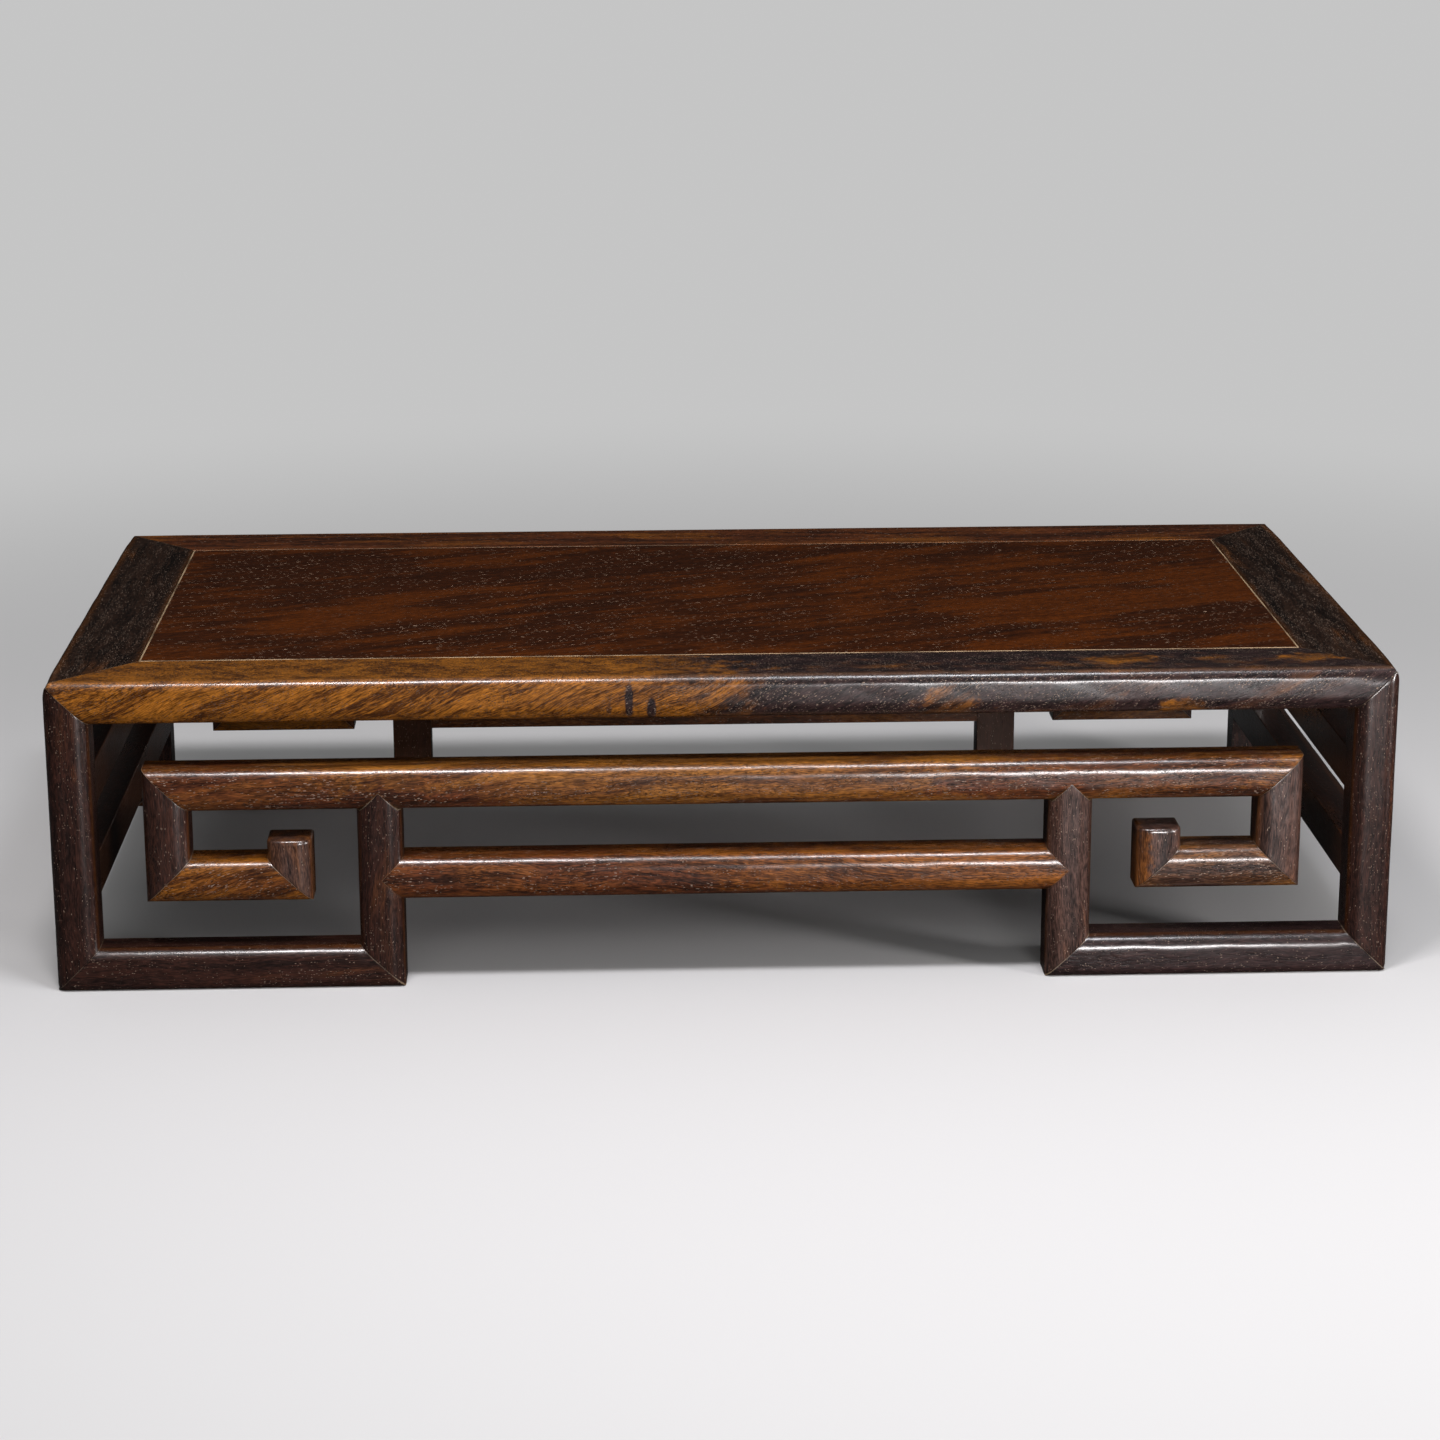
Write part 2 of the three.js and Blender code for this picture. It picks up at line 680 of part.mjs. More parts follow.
// The two rails between the posts at one end
function shortSide(hand, turn) {
  const frame = new THREE.Group();
  frame.rotation.z = turn;
  for (const [level, bottom] of Object.entries(SIDE_RAILS)) {
    frame.add(piece(`${hand}_${level}_rail`, sideRail(bottom), BROWN_WOOD));
  }
  return frame;
}

const table = new THREE.Group();
table.add(framedTop());
table.add(longSide('front', 0));
table.add(longSide('back', Math.PI));
table.add(shortSide('left', 0));
table.add(shortSide('right', Math.PI));

export default table;
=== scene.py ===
"""Picture model of a low hardwood tea table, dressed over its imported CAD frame.

Every piece is one closed surface worked out in numpy. Lengths in the classes are in
millimetres in the table's own frame: +X along the table, -Y to the front, +Z up.
"""

import logging
import math
import zlib
from dataclasses import dataclass, replace
from enum import Enum
from typing import Optional, Sequence, Union

import bpy
import numpy as np
from mathutils import Matrix, Vector


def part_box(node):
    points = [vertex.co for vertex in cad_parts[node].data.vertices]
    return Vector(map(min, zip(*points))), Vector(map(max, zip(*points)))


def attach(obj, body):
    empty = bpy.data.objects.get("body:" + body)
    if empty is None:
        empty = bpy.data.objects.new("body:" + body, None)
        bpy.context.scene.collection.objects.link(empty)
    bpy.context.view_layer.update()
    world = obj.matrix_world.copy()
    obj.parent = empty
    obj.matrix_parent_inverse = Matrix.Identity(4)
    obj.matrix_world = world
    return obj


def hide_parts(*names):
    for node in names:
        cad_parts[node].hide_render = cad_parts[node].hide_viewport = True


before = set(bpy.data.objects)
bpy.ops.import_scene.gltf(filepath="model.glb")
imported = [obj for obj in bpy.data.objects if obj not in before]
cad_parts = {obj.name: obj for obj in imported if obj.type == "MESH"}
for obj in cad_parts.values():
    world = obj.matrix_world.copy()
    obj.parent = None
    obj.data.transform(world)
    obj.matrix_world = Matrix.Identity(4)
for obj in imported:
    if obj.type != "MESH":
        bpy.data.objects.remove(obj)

LOG = logging.getLogger("tea_table")
MM = 0.001
Array = np.ndarray
Color = tuple[float, float, float]
Socket = Union[bpy.types.NodeSocket, float, int, tuple]


# Shapes


@dataclass(frozen=True)
class Edge:
    """A rounded edge of a member's face.

    Attributes:
        across: How far the rounding runs across the face, in mm.
        deep: How far it runs back from the face, in mm.
        fullness: 2 is an ellipse; less makes it flatter, with a crisper start and end.
    """

    across: float
    deep: float
    fullness: float = 2.0

    def drop(self, distance: Array) -> Array:
        """Depth below the face at a distance from the side.

        It is a superellipse: (1 - distance / across)^n + (1 - drop / deep)^n = 1.

        Args:
            distance: Distance from the member's side, in mm.

        Returns:
            The depth in mm, from `deep` at the side to 0 where the rounding ends.
        """
        x = np.clip(1 - distance / self.across, 0, 1)
        n = self.fullness
        return self.deep * (1 - (1 - x**n) ** (1 / n))

    def samples(self, count: int) -> Array:
        """Distances from the side that follow the curve evenly, from 0 to `across`."""
        turn = np.linspace(0, math.pi / 2, count)
        return self.across * (1 - np.cos(turn) ** (2 / self.fullness))


FACE_EDGE = Edge(across=6.8, deep=5.4)
FLOOR_EDGE = Edge(across=3.6, deep=3.0, fullness=1.9)
TOP_EDGE = Edge(across=4.6, deep=3.2, fullness=1.7)
CORNER_EDGE = Edge(across=5.6, deep=5.6)
CORNER_TOP_EDGE = Edge(across=8.2, deep=3.6, fullness=1.7)
TIP_EDGE = Edge(across=1.6, deep=1.6)

# Lengths in mm: reach of the soft corners, the groove along a joint, half the gap at a joint,
# the eased back arris and the widest distance from a joint that the wood reads
CORNER_REACH = 16.0
GROOVE_DEPTH, GROOVE_WIDTH = 0.035, 0.3
HALF_GAP = 0.06
BACK_EASE = 0.35
SEAM_LIMIT = 9.0

# A pointed shoulder runs back from the face to a lip. The face stays in front of the lip, and
# the next row of points lies just behind it. All in mm.
LIP = 6.5
FACE_LIMIT = LIP - 0.1
LIP_BACK = LIP + 0.05

# Rounds in which a face and its mitred ends settle together, and the angle in degrees above
# which an arris is sharp
SETTLE_ROUNDS = 9
SHARP_ANGLE = 38

# Points over a rounding of a member's face and over the flat between its roundings
ROUND_POINTS, FLAT_POINTS = 11, 9

# Hand-worked unevenness: the share by which a rounding varies in width, and the rise of the
# face and of its ripple in mm, with the lengths of their waves in mm
EDGE_SPREAD = 0.12
FACE_RISE, LOW_WAVE, HIGH_WAVE = 0.14, 70.0, 55.0
RIPPLE_RISE, RIPPLE_WAVE = 0.08, 17.0


def top_drop(below: Array, beside: Array) -> Array:
    """Inset of the top edge, which softens towards a corner of the table.

    Near the corner the wider rounding takes over, by a share of exp(-(beside / reach)^2).

    Args:
        below: Distance below the top, in mm.
        beside: Distance from the corner, in mm.

    Returns:
        The inset behind the face, in mm.
    """
    usual, soft = TOP_EDGE.drop(below), CORNER_TOP_EDGE.drop(below)
    return usual + np.exp(-((beside / CORNER_REACH) ** 2)) * np.clip(soft - usual, 0, None)


def groove(seam: Array) -> Array:
    """Depth of the groove along a joint: depth * exp(-(distance / width)^2), in mm."""
    return GROOVE_DEPTH * np.exp(-((seam / GROOVE_WIDTH) ** 2))


def slow_waves(seed: str, place: Array, length: float) -> Array:
    """Smooth unevenness of hand-shaped wood: a half plus three sines of unlike lengths.

    Args:
        seed: Name that fixes the phases.
        place: Places along the wood, in mm.
        length: Typical wave length, in mm.

    Returns:
        Values from 0 to 1, one for each place.
    """
    lengths, heights = (1, 0.61, 0.37), (0.25, 0.16, 0.09)
    rng = np.random.default_rng(zlib.crc32(seed.encode()))
    phases = rng.uniform(0, 2 * math.pi, 3)
    waves = [np.sin(place * 2 * math.pi / (length * k) + p) for k, p in zip(lengths, phases)]
    return 0.5 + sum(wave * height for wave, height in zip(waves, heights))


def pointed(offset: Array, reach: float) -> Array:
    """Height of a pointed shoulder with 45 degree sides at an offset from its middle."""
    return np.clip(reach - np.abs(offset), 0, None)


@dataclass(frozen=True)
class Notch:
    """Where another member's pointed shoulder is let into a side of this one.

    Attributes:
        place: Middle of the notch along the member, in mm.
        reach: How far it reaches in from the side, in mm.
        high: True if it is on the high side across the face.
    """

    place: float
    reach: float
    high: bool = False


@dataclass(frozen=True)
class End:
    """How a member ends: a mitre plane, a pointed shoulder or a plain sawn end.

    Attributes:
        at: Outermost place of the end along the member, in mm.
        low: How far the end lies back from `at` at the low side of the face, in mm.
        high: The same at the high side.
        depth: How far it lies back for each mm behind the face, if that is further.
        reach: Reach of a pointed shoulder past `at`, in mm.
        zone: Length of wood over which the grain lines turn to follow the end, in mm.
        corner: True if the table's rounded corner is at this end.
        eased: True if the sawn end has softened edges.
    """

    at: float
    low: float = 0.0
    high: float = 0.0
    depth: float = 0.0
    reach: float = 0.0
    zone: float = 24.0
    corner: bool = False
    eased: bool = False


def distinct(places: list[Array], apart: float) -> Array:
    """Rising places without those that lie closer than this behind the one before, in mm."""
    rising = np.unique(np.round(np.concatenate(places), 3))
    return rising[np.concatenate([[True], np.diff(rising) > apart])]


def place_list(low: float, high: float, notches: Sequence[Notch], step: float) -> Array:
    """Places along a member, close together near its ends and its notches.

    Args:
        low: First place, in mm.
        high: Last place, in mm.
        notches: Notches whose corners need lines of points.
        step: Widest spacing, in mm.

    Returns:
        Rising places, in mm.
    """
    near_end = np.array([0, 0.18, 0.4, 0.8, 1.4, 2.2, 3.2, 4.4, 5.8, 7.4])
    near_mark = np.array([-0.35, 0, 0.35])
    parts = [np.linspace(low, high, int((high - low) / step) + 2), low + near_end, high - near_end]
    for notch in notches:
        for mark in (notch.place, notch.place - notch.reach, notch.place + notch.reach):
            parts.append(np.clip(mark + near_mark, low, high))
    return distinct(parts, 0.1)


@dataclass
class Member:
    """A straight bar with a shaped face.

    The points form a lattice: along the grain, across the face, and from the face back.

    Attributes:
        name: Name of the CAD node that it stands for.
        width: Width across the face, in mm.
        depth: Thickness from the face to the back, in mm.
        start: The end at the low places.
        end: The end at the high places.
        low_edge: Rounding at the low side of the face.
        high_edge: Rounding at the high side of the face.
        notches: Notches for pointed shoulders.
        crown: How much the face is crowned, in mm.
        step: Widest spacing of the points along the grain, in mm.
    """

    name: str
    width: float
    depth: float
    start: End
    end: End
    low_edge: Edge = FACE_EDGE
    high_edge: Edge = FACE_EDGE
    notches: tuple[Notch, ...] = ()
    crown: float = 0.22
    step: float = 2.5

    def across(self) -> Array:
        """Places across the face, following both roundings.

        Returns:
            Rising places from 0 to the width, in mm.
        """
        low = self.low_edge.samples(ROUND_POINTS)
        high = self.width - self.high_edge.samples(ROUND_POINTS)
        flat = np.linspace(self.low_edge.across, self.width - self.high_edge.across, FLAT_POINTS)
        points = [self.width / 2]
        for end in (self.start, self.end):
            if end.reach:
                points += [self.width / 2 - end.reach, self.width / 2 + end.reach]
        return distinct([low, high, flat, np.array(points)], 0.02)

    def along(self) -> Array:
        """Places along the grain before the ends are cut, in mm."""
        low, high = self.start.at - self.start.reach, self.end.at + self.end.reach
        return place_list(low, high, self.notches, self.step)

    def cut(self, end: End, outward: int, across: Array, depth: Array, lip_row: Array) -> Array:
        """Where an end lies for points at these places across and behind the face.

        A mitre lies back in proportion to the place across the face, or to the depth where
        that is further. A pointed shoulder adds its point in the rows in front of the lip.

        Args:
            end: The end.
            outward: 1 for the end at the high places and -1 for the other.
            across: Places across the face, in mm.
            depth: Depths behind the face, in mm.
            lip_row: 1 for points in front of the lip and 0 behind it.

        Returns:
            Places along the member, in mm.
        """
        share = across / self.width
        back = end.low * (1 - share) + end.high * share
        back = np.maximum(back, end.depth * depth) + HALF_GAP
        return end.at - outward * (back - lip_row * pointed(across - self.width / 2, end.reach))

    def lattice(self) -> tuple[Array, dict[str, Array]]:
        """Points of the bar as (along, across, depth), and its edge and seam distances.

        The rows go from the face to the lip, behind it, halfway back and round the back arris.
        The face and its corners are found in a few rounds, each halfway to the depth that is
        wanted, because the mitred ends lie further back where the face does.

        Returns:
            The lattice, with shape (places, across, rows, 3) in mm, and the attributes that
            its wood reads: each point's distance from the side arris and from a joint.
        """
        along, across = self.along()[:, None], self.across()[None, :]
        low, high = np.zeros_like(along), np.zeros_like(along)
        for notch in self.notches:
            rise = pointed(along - notch.place, notch.reach)
            low, high = (low, high + rise) if notch.high else (low + rise, high)
        front = low + across * (self.width - low - high) / self.width
        back = np.broadcast_to(across, front.shape)
        inner = BACK_EASE + back * (self.width - 2 * BACK_EASE) / self.width
        u = np.stack([front, front, back, back, back, inner], -1)
        fall = self._fall(along, front)
        flat = np.ones_like(fall)
        rows = [LIP, LIP_BACK, (LIP + self.depth) / 2, self.depth - BACK_EASE, self.depth]
        v = np.stack([np.minimum(fall, FACE_LIMIT)] + [flat * row for row in rows], -1)
        lip_row = np.array([1, 1, 0, 0, 0, 0])[None, None, :]
        face = v[..., 0].copy()
        for _ in range(SETTLE_ROUNDS):
            w, first, last = self._turned(along[..., None], u, v, lip_row)
            corner = np.zeros_like(face)
            if self.start.corner:
                corner = CORNER_EDGE.drop(w[..., 0] - self.start.at)
            if self.end.corner:
                corner = corner + CORNER_EDGE.drop(self.end.at - w[..., 0])
            wanted = np.minimum(np.hypot(face, corner), FACE_LIMIT)
            v[..., 0] = (v[..., 0] + wanted) / 2
        seam = w - first if self.end.eased else np.minimum(w - first, last - w)
        v[..., 0] += groove(seam[..., 0])
        u, v = self._soften(along, u, v)
        # Distances from an arris: measured on the face, and set row by row behind it
        side = np.minimum(front - low, self.width - high - front)
        arris = np.stack([side, flat, flat * 1.1, flat * 5, flat * BACK_EASE, flat * 0], -1)
        arris[:, 1:-1, 1:-2] += 3
        return np.stack([w, u, v], -1), {"arris": arris, "seam": np.clip(seam, 0, SEAM_LIMIT)}

    def _fall(self, along: Array, front: Array) -> Array:
        """How far the shaped face lies behind its plane.

        It is the sum of both roundings, the crown and the hand-worked unevenness.

        Args:
            along: Places along the grain, in mm.
            front: Places across the face, in mm.

        Returns:
            The depth at each place, in mm.
        """
        uneven = slow_waves(self.name, along, LOW_WAVE)
        narrow = 1 - EDGE_SPREAD / 2
        fall = self.low_edge.drop(front * (narrow + EDGE_SPREAD * uneven))
        spread = narrow + EDGE_SPREAD * slow_waves(self.name + "h", along, HIGH_WAVE)
        below = (self.width - front) * spread
        if self.high_edge is TOP_EDGE:
            fall = fall + top_drop(below, np.minimum(along - self.start.at, self.end.at - along))
        else:
            fall = fall + self.high_edge.drop(below)
        fall = fall + self.crown * (2 * front / self.width - 1) ** 2
        ripple = slow_waves(self.name + "u", front + along * 0.3, RIPPLE_WAVE)
        return fall + FACE_RISE * uneven + RIPPLE_RISE * ripple

    def _turned(self, along: Array, u: Array, v: Array, lip: Array) -> tuple[Array, Array, Array]:
        """Places along the member after both ends are cut, and the two ends.

        Within an end's zone a place p becomes e + (p - a) * (zone - (e - a)) / zone, where a is
        the outermost place and e is the end at that point.

        Args:
            along: Places before the cut, in mm.
            u: Places across the face, in mm.
            v: Depths behind the face, in mm.
            lip: 1 in the rows in front of the lip.

        Returns:
            The new places, the start and the end at each point, in mm.
        """
        first = self.cut(self.start, -1, u, v, lip)
        last = self.cut(self.end, 1, u, v, lip)
        a, b = self.start.at - self.start.reach, self.end.at + self.end.reach
        head = first + (along - a) * (a + self.start.zone - first) / self.start.zone
        tail = last - (b - along) * (last - b + self.end.zone) / self.end.zone
        placed = np.where(along < a + self.start.zone, head, along)
        placed = np.where(along > b - self.end.zone, tail, placed)
        return placed, first, last

    def _soften(self, along: Array, u: Array, v: Array) -> tuple[Array, Array]:
        """Draws the section in where it nears an eased end, on all four sides.

        Args:
            along: Places along the grain, in mm.
            u: Places across the face, in mm.
            v: Depths behind the face, in mm.

        Returns:
            The new places across and the new depths, in mm.
        """
        if not self.end.eased:
            return u, v
        # The face and the lip sink, and the back rises to meet them
        inset = TIP_EDGE.drop(self.end.at - along)[..., None]
        middle = self.width / 2
        u = middle + (u - middle) * (1 - inset / middle)
        sink = np.array([1, 0.4, 0.4, 0, -1, -1])[None, None, :]
        return u, v + inset * sink


@dataclass
class Post:
    """A corner post, as a lattice up its height and over its square section.

    Attributes:
        name: Name of the CAD node that it stands for.
        width: Width of both faces, in mm.
        height: Height of the table, in mm.
        foot_height: Height of the foot rail that is mitred to it, in mm.
        head_height: Height of the top frame that is mitred to it, in mm.
        notches: Notches on the end face for the side rails.
        zone: Length of wood over which the lines turn to follow a mitre, in mm.
        step: Widest spacing of the points up the post, in mm.
        wave: Length of the waves of its hand-worked faces, in mm.
        spread: Share by which its inner roundings vary in width.
        rise: Rise of the faces' waves and of the outer arris's, in mm.
        crown: How much a face is crowned, in mm.
    """

    name: str
    width: float
    height: float
    foot_height: float
    head_height: float
    notches: tuple[Notch, ...]
    zone: float = 27.0
    step: float = 2.5
    wave: float = 60.0
    spread: float = 0.1
    rise: tuple[float, float] = (0.12, 0.2)
    crown: float = 0.15

    def boundary(self, shift: Array, uneven: Array) -> tuple[Array, Array, Array, Array]:
        """The four sides of the section at each height.

        Args:
            shift: How far a notch reaches in from the end face's inner side, in mm.
            uneven: Slow unevenness from 0 to 1 at each height.

        Returns:
            The front side, end side, inner side and back side, each with points
            (distance from the end face, distance from the front face), in mm.
        """
        corner = CORNER_EDGE.drop(np.array(0.0))
        start = corner * (1 - 0.5 ** 0.5)
        outer_count, flat_count, inner_count = 7, 8, 10
        inner = self.width - FACE_EDGE.samples(inner_count)[::-1]
        outer = start + (CORNER_EDGE.across - start) * np.linspace(0, 1, outer_count) ** 1.2
        flat = np.linspace(outer[-1], inner[0], flat_count)
        places = np.concatenate([outer, flat[1:-1], inner])
        count = len(places)
        shift, uneven = shift[:, None], uneven[:, None]
        rows = np.ones_like(shift) * places[None, :]
        reach = self.width - start - shift
        squeezed = start + (rows - start) * reach / (self.width - start)

        def drop(place: Array) -> Array:
            """Depth of a face: both roundings, the slow wave and the crown.

            Args:
                place: Distance from the table's outer corner, in mm.

            Returns:
                The depth, in mm.
            """
            far = (self.width - place) * (1 - self.spread / 2 + self.spread * uneven)
            fall = CORNER_EDGE.drop(place) + FACE_EDGE.drop(far)
            return fall + self.rise[0] * uneven + self.crown * (2 * place / self.width - 1) ** 2

        front = np.stack([rows, drop(rows)], -1)
        end = np.stack([drop(squeezed), squeezed], -1)
        front[:, 0] = end[:, 0] = start + self.rise[1] * uneven
        depth = end[:, -1:, 0]
        back = np.linspace(LIP_BACK, self.width, count - 2)[None, :] * np.ones_like(shift)
        back = np.concatenate([depth, np.full_like(depth, LIP), back], 1)
        back_depth = np.full_like(back, self.width)
        back_depth[:, :2] -= shift
        inner_side = front[:, -1:, 1] + (self.width - front[:, -1:, 1]) * np.linspace(0, 1, count)
        return (
            front,
            end,
            np.stack([np.full_like(inner_side, self.width), inner_side], -1),
            np.stack([back, back_depth], -1),
        )

    def lattice(self) -> tuple[Array, dict[str, Array]]:
        """Points of the post as (height, from the end face, from the front face).

        The section is a blend of its four sides: the surfaces ruled between each two opposite
        sides are added, and the one through its four corners is taken away. Its foot follows
        the foot rail's mitre, and its head the mitres of both top rails.

        Returns:
            The lattice, with shape (heights, across, depth, 3) in mm, and its attributes.
        """
        z = place_list(0, self.height, self.notches, self.step)
        shift = sum(pointed(z - notch.place, notch.reach) for notch in self.notches)
        front, end, inner, back = self.boundary(shift, slow_waves(self.name, z, self.wave))
        count = front.shape[1]
        s = np.linspace(0, 1, count)[None, :, None, None]
        t = np.linspace(0, 1, count)[None, None, :, None]
        ruled = (1 - t) * front[:, :, None] + t * back[:, :, None]
        ruled = ruled + (1 - s) * end[:, None, :] + s * inner[:, None, :]
        corners = (1 - s) * (1 - t) * front[:, :1, None] + s * (1 - t) * front[:, -1:, None]
        corners = corners + (1 - s) * t * back[:, :1, None] + s * t * back[:, -1:, None]
        section = ruled - corners
        q, p = section[..., 0], section[..., 1]
        first = q * self.foot_height / self.width + HALF_GAP
        last = self.height - np.maximum(q, p) * self.head_height / self.width - HALF_GAP
        zone = self.zone
        height = z[:, None, None] * np.ones_like(q)
        foot = first + height * (zone - first) / zone
        head = last - (self.height - height) * (last - self.height + zone) / zone
        w = np.where(height < zone, foot, height)
        w = np.where(height > self.height - zone, head, w)
        floor = FLOOR_EDGE.drop(w)
        front_edge = top_drop(self.height - w, q) + floor
        end_edge = top_drop(self.height - w, p) + floor
        seam = np.minimum(w - first, last - w)
        dip = groove(seam)
        p, q = p.copy(), q.copy()
        p[:, :, 0] = np.hypot(p[:, :, 0], front_edge[:, :, 0]) + dip[:, :, 0]
        q[:, 0, :] = np.hypot(q[:, 0, :], end_edge[:, 0, :]) + dip[:, 0, :]
        arris = np.full_like(q, 4.0)
        arris[:, :, 0] = self.width - q[:, :, 0]
        arris[:, 0, :] = np.minimum(arris[:, 0, :], self.width - p[:, 0, :])
        return np.stack([w, q, p], -1), {"arris": arris, "seam": np.clip(seam, 0, SEAM_LIMIT)}


def shell(lattice: Array, values: dict[str, Array]) -> tuple[Array, Array, dict[str, Array]]:
    """The closed skin of a lattice of points: its six sides, sharing their points.

    Args:
        lattice: Points with shape (a, b, c, 3).
        values: Attributes with shape (a, b, c).

    Returns:
        Points, quads that face outwards, and the attributes of the points that are kept.
    """
    index = np.arange(lattice[..., 0].size).reshape(lattice.shape[:3])

    def side(cells: Array, turned: bool) -> Array:
        """Quads over one side of the lattice.

        Args:
            cells: Grid of point numbers.
            turned: True to turn the quads over.

        Returns:
            Four point numbers for each quad.
        """
        quads = np.stack([cells[:-1, :-1], cells[1:, :-1], cells[1:, 1:], cells[:-1, 1:]], -1)
        quads = quads.reshape(-1, 4)
        return quads[:, ::-1] if turned else quads

    quads = np.concatenate([
        side(index[0], True),
        side(index[-1], False),
        side(index[:, 0], False),
        side(index[:, -1], True),
        side(index[:, :, 0], True),
        side(index[:, :, -1], False),
    ])
    kept, renumbered = np.unique(quads, return_inverse=True)
    points = lattice.reshape(-1, 3)[kept]
    quads = renumbered.reshape(-1, 4)
    a, b, c, d = (points[quads[:, k]] for k in range(4))
    volume = np.einsum("ij,ij->", np.cross(b - a, c - a) + np.cross(c - a, d - a), a)
    if volume < 0:
        quads = quads[:, ::-1]
    return points, quads, {key: value.reshape(-1)[kept] for key, value in values.items()}


def make_piece(
    name: str, points: Array, quads: Array, values: dict[str, Array]
) -> bpy.types.Object:
    """Puts a closed mesh in the scene, smooth except along its sharp arrises.

    Args:
        name: Name of the piece.
        points: Points in mm in the table's frame.
        quads: Corner numbers of each face.
        values: Attributes of the points.

    Returns:
        The new object.
    """
    mesh = bpy.data.meshes.new(name)
    mesh.vertices.add(len(points))
    mesh.vertices.foreach_set("co", (points * MM).astype(np.float32).ravel())
    mesh.loops.add(quads.size)
    mesh.loops.foreach_set("vertex_index", quads.astype(np.int32).ravel())
    mesh.polygons.add(len(quads))
    mesh.polygons.foreach_set("loop_start", np.arange(0, quads.size, 4, dtype=np.int32))
    mesh.update(calc_edges=True)
    for key, value in values.items():
        attribute = mesh.attributes.new(key, "FLOAT", "POINT")
        attribute.data.foreach_set("value", value.astype(np.float32))
    mesh.validate()
    mesh.polygons.foreach_set("use_smooth", np.ones(len(mesh.polygons), bool))
    mesh.set_sharp_from_angle(angle=math.radians(SHARP_ANGLE))
    piece = bpy.data.objects.new(name, mesh)
    bpy.context.scene.collection.objects.link(piece)
    return piece


# Materials


FLOAT = "NodeSocketFloat"
VECTOR = "NodeSocketVector"


class Graph:
    """Adds nodes to one node tree, taking sockets or plain values as inputs."""

    def __init__(self, tree: bpy.types.NodeTree) -> None:
        """Keeps the tree that the nodes go into."""
        self.tree = tree

    def add(self, kind: str, inputs: Optional[dict] = None, **settings: object) -> bpy.types.Node:
        """Adds a node.

        Args:
            kind: The node's type, such as ShaderNodeMath.
            inputs: Values or sockets by the name or number of the input.
            **settings: Properties of the node.

        Returns:
            The node.
        """
        node = self.tree.nodes.new(kind)
        for key, value in settings.items():
            setattr(node, key, value)
        for key, value in (inputs or {}).items():
            self.feed(node.inputs[key], value)
        return node

    def feed(self, target: bpy.types.NodeSocket, value: Socket) -> None:
        """Links a socket to an input, or sets the input's own value.

        Args:
            target: The input.
            value: A socket or a plain value; three numbers also fill a colour.
        """
        if isinstance(value, bpy.types.NodeSocket):
            self.tree.links.new(value, target)
        elif isinstance(value, tuple) and len(value) == 3 and target.type == "RGBA":
            target.default_value = (*value, 1.0)
        else:
            target.default_value = value

    def math(
        self, operation: str, a: Socket, b: Socket = 0.5, c: Socket = 0.0, clamp: bool = False
    ) -> Socket:
        """Result of a Math node on up to three values."""
        node = self.add("ShaderNodeMath", {0: a, 1: b, 2: c}, operation=operation, use_clamp=clamp)
        return node.outputs[0]

    def vector_math(self, operation: str, a: Socket, b: Socket = (0.0, 0.0, 0.0)) -> Socket:
        """Vector result of a Vector Math node."""
        node = self.add("ShaderNodeVectorMath", {0: a, 1: b}, operation=operation)
        return node.outputs["Value" if operation in ("LENGTH", "DISTANCE") else "Vector"]

    def mix(self, share: Socket, a: Socket, b: Socket, blend: str = "MIX") -> Socket:
        """Colour b over colour a.

        A Mix node has its colours at inputs 6 and 7 and at output 2.

        Args:
            share: How much of b there is, from 0 to 1.
            a: The colour below.
            b: The colour above.
            blend: How the two are combined.

        Returns:
            The mixed colour.
        """
        node = self.add("ShaderNodeMix", data_type="RGBA", blend_type=blend, clamp_factor=True)
        for number, value in ((0, share), (6, a), (7, b)):
            self.feed(node.inputs[number], value)
        return node.outputs[2]

    def fit(
        self, value: Socket, low: float, high: float, to_low: Socket = 0.0, to_high: Socket = 1.0
    ) -> Socket:
        """Smoothly maps a value from one range to another, and holds it at the ends.

        Args:
            value: The value.
            low: Where the first range starts.
            high: Where it ends.
            to_low: What `low` becomes.
            to_high: What `high` becomes.

        Returns:
            The new value.
        """
        node = self.add(
            "ShaderNodeMapRange",
            {"Value": value, "From Min": low, "From Max": high, "To Min": to_low, "To Max": to_high},
            interpolation_type="SMOOTHSTEP",
        )
        return node.outputs[0]

    def scaled(self, vector: Socket, scale: tuple[float, float, float]) -> Socket:
        """The vector times a scale along each axis."""
        return self.vector_math("MULTIPLY", vector, scale)

    def noise(self, vector: Socket, scale: float, detail: float = 2.0, rough: float = 0.5) -> Socket:
        """A noise value from 0 to 1."""
        node = self.add(
            "ShaderNodeTexNoise",
            {"Vector": vector, "Scale": scale, "Detail": detail, "Roughness": rough},
        )
        return node.outputs[0]


def new_group(
    name: str, inputs: dict[str, tuple], outputs: Sequence[str]
) -> tuple[bpy.types.NodeTree, Graph, bpy.types.Node, bpy.types.Node]:
    """Makes an empty shader node group.

    Args:
        name: The group's name.
        inputs: Socket type and starting value by input name.
        outputs: Names of the outputs, which are all plain values.

    Returns:
        The group, its graph, its input node and its output node.
    """
    tree = bpy.data.node_groups.new(name, "ShaderNodeTree")
    for key, (kind, value) in inputs.items():
        socket = tree.interface.new_socket(name=key, in_out="INPUT", socket_type=kind)
        if value is not None:
            socket.default_value = value
    for key in outputs:
        tree.interface.new_socket(name=key, in_out="OUTPUT", socket_type=FLOAT)
    graph = Graph(tree)
    return tree, graph, graph.add("NodeGroupInput"), graph.add("NodeGroupOutput")


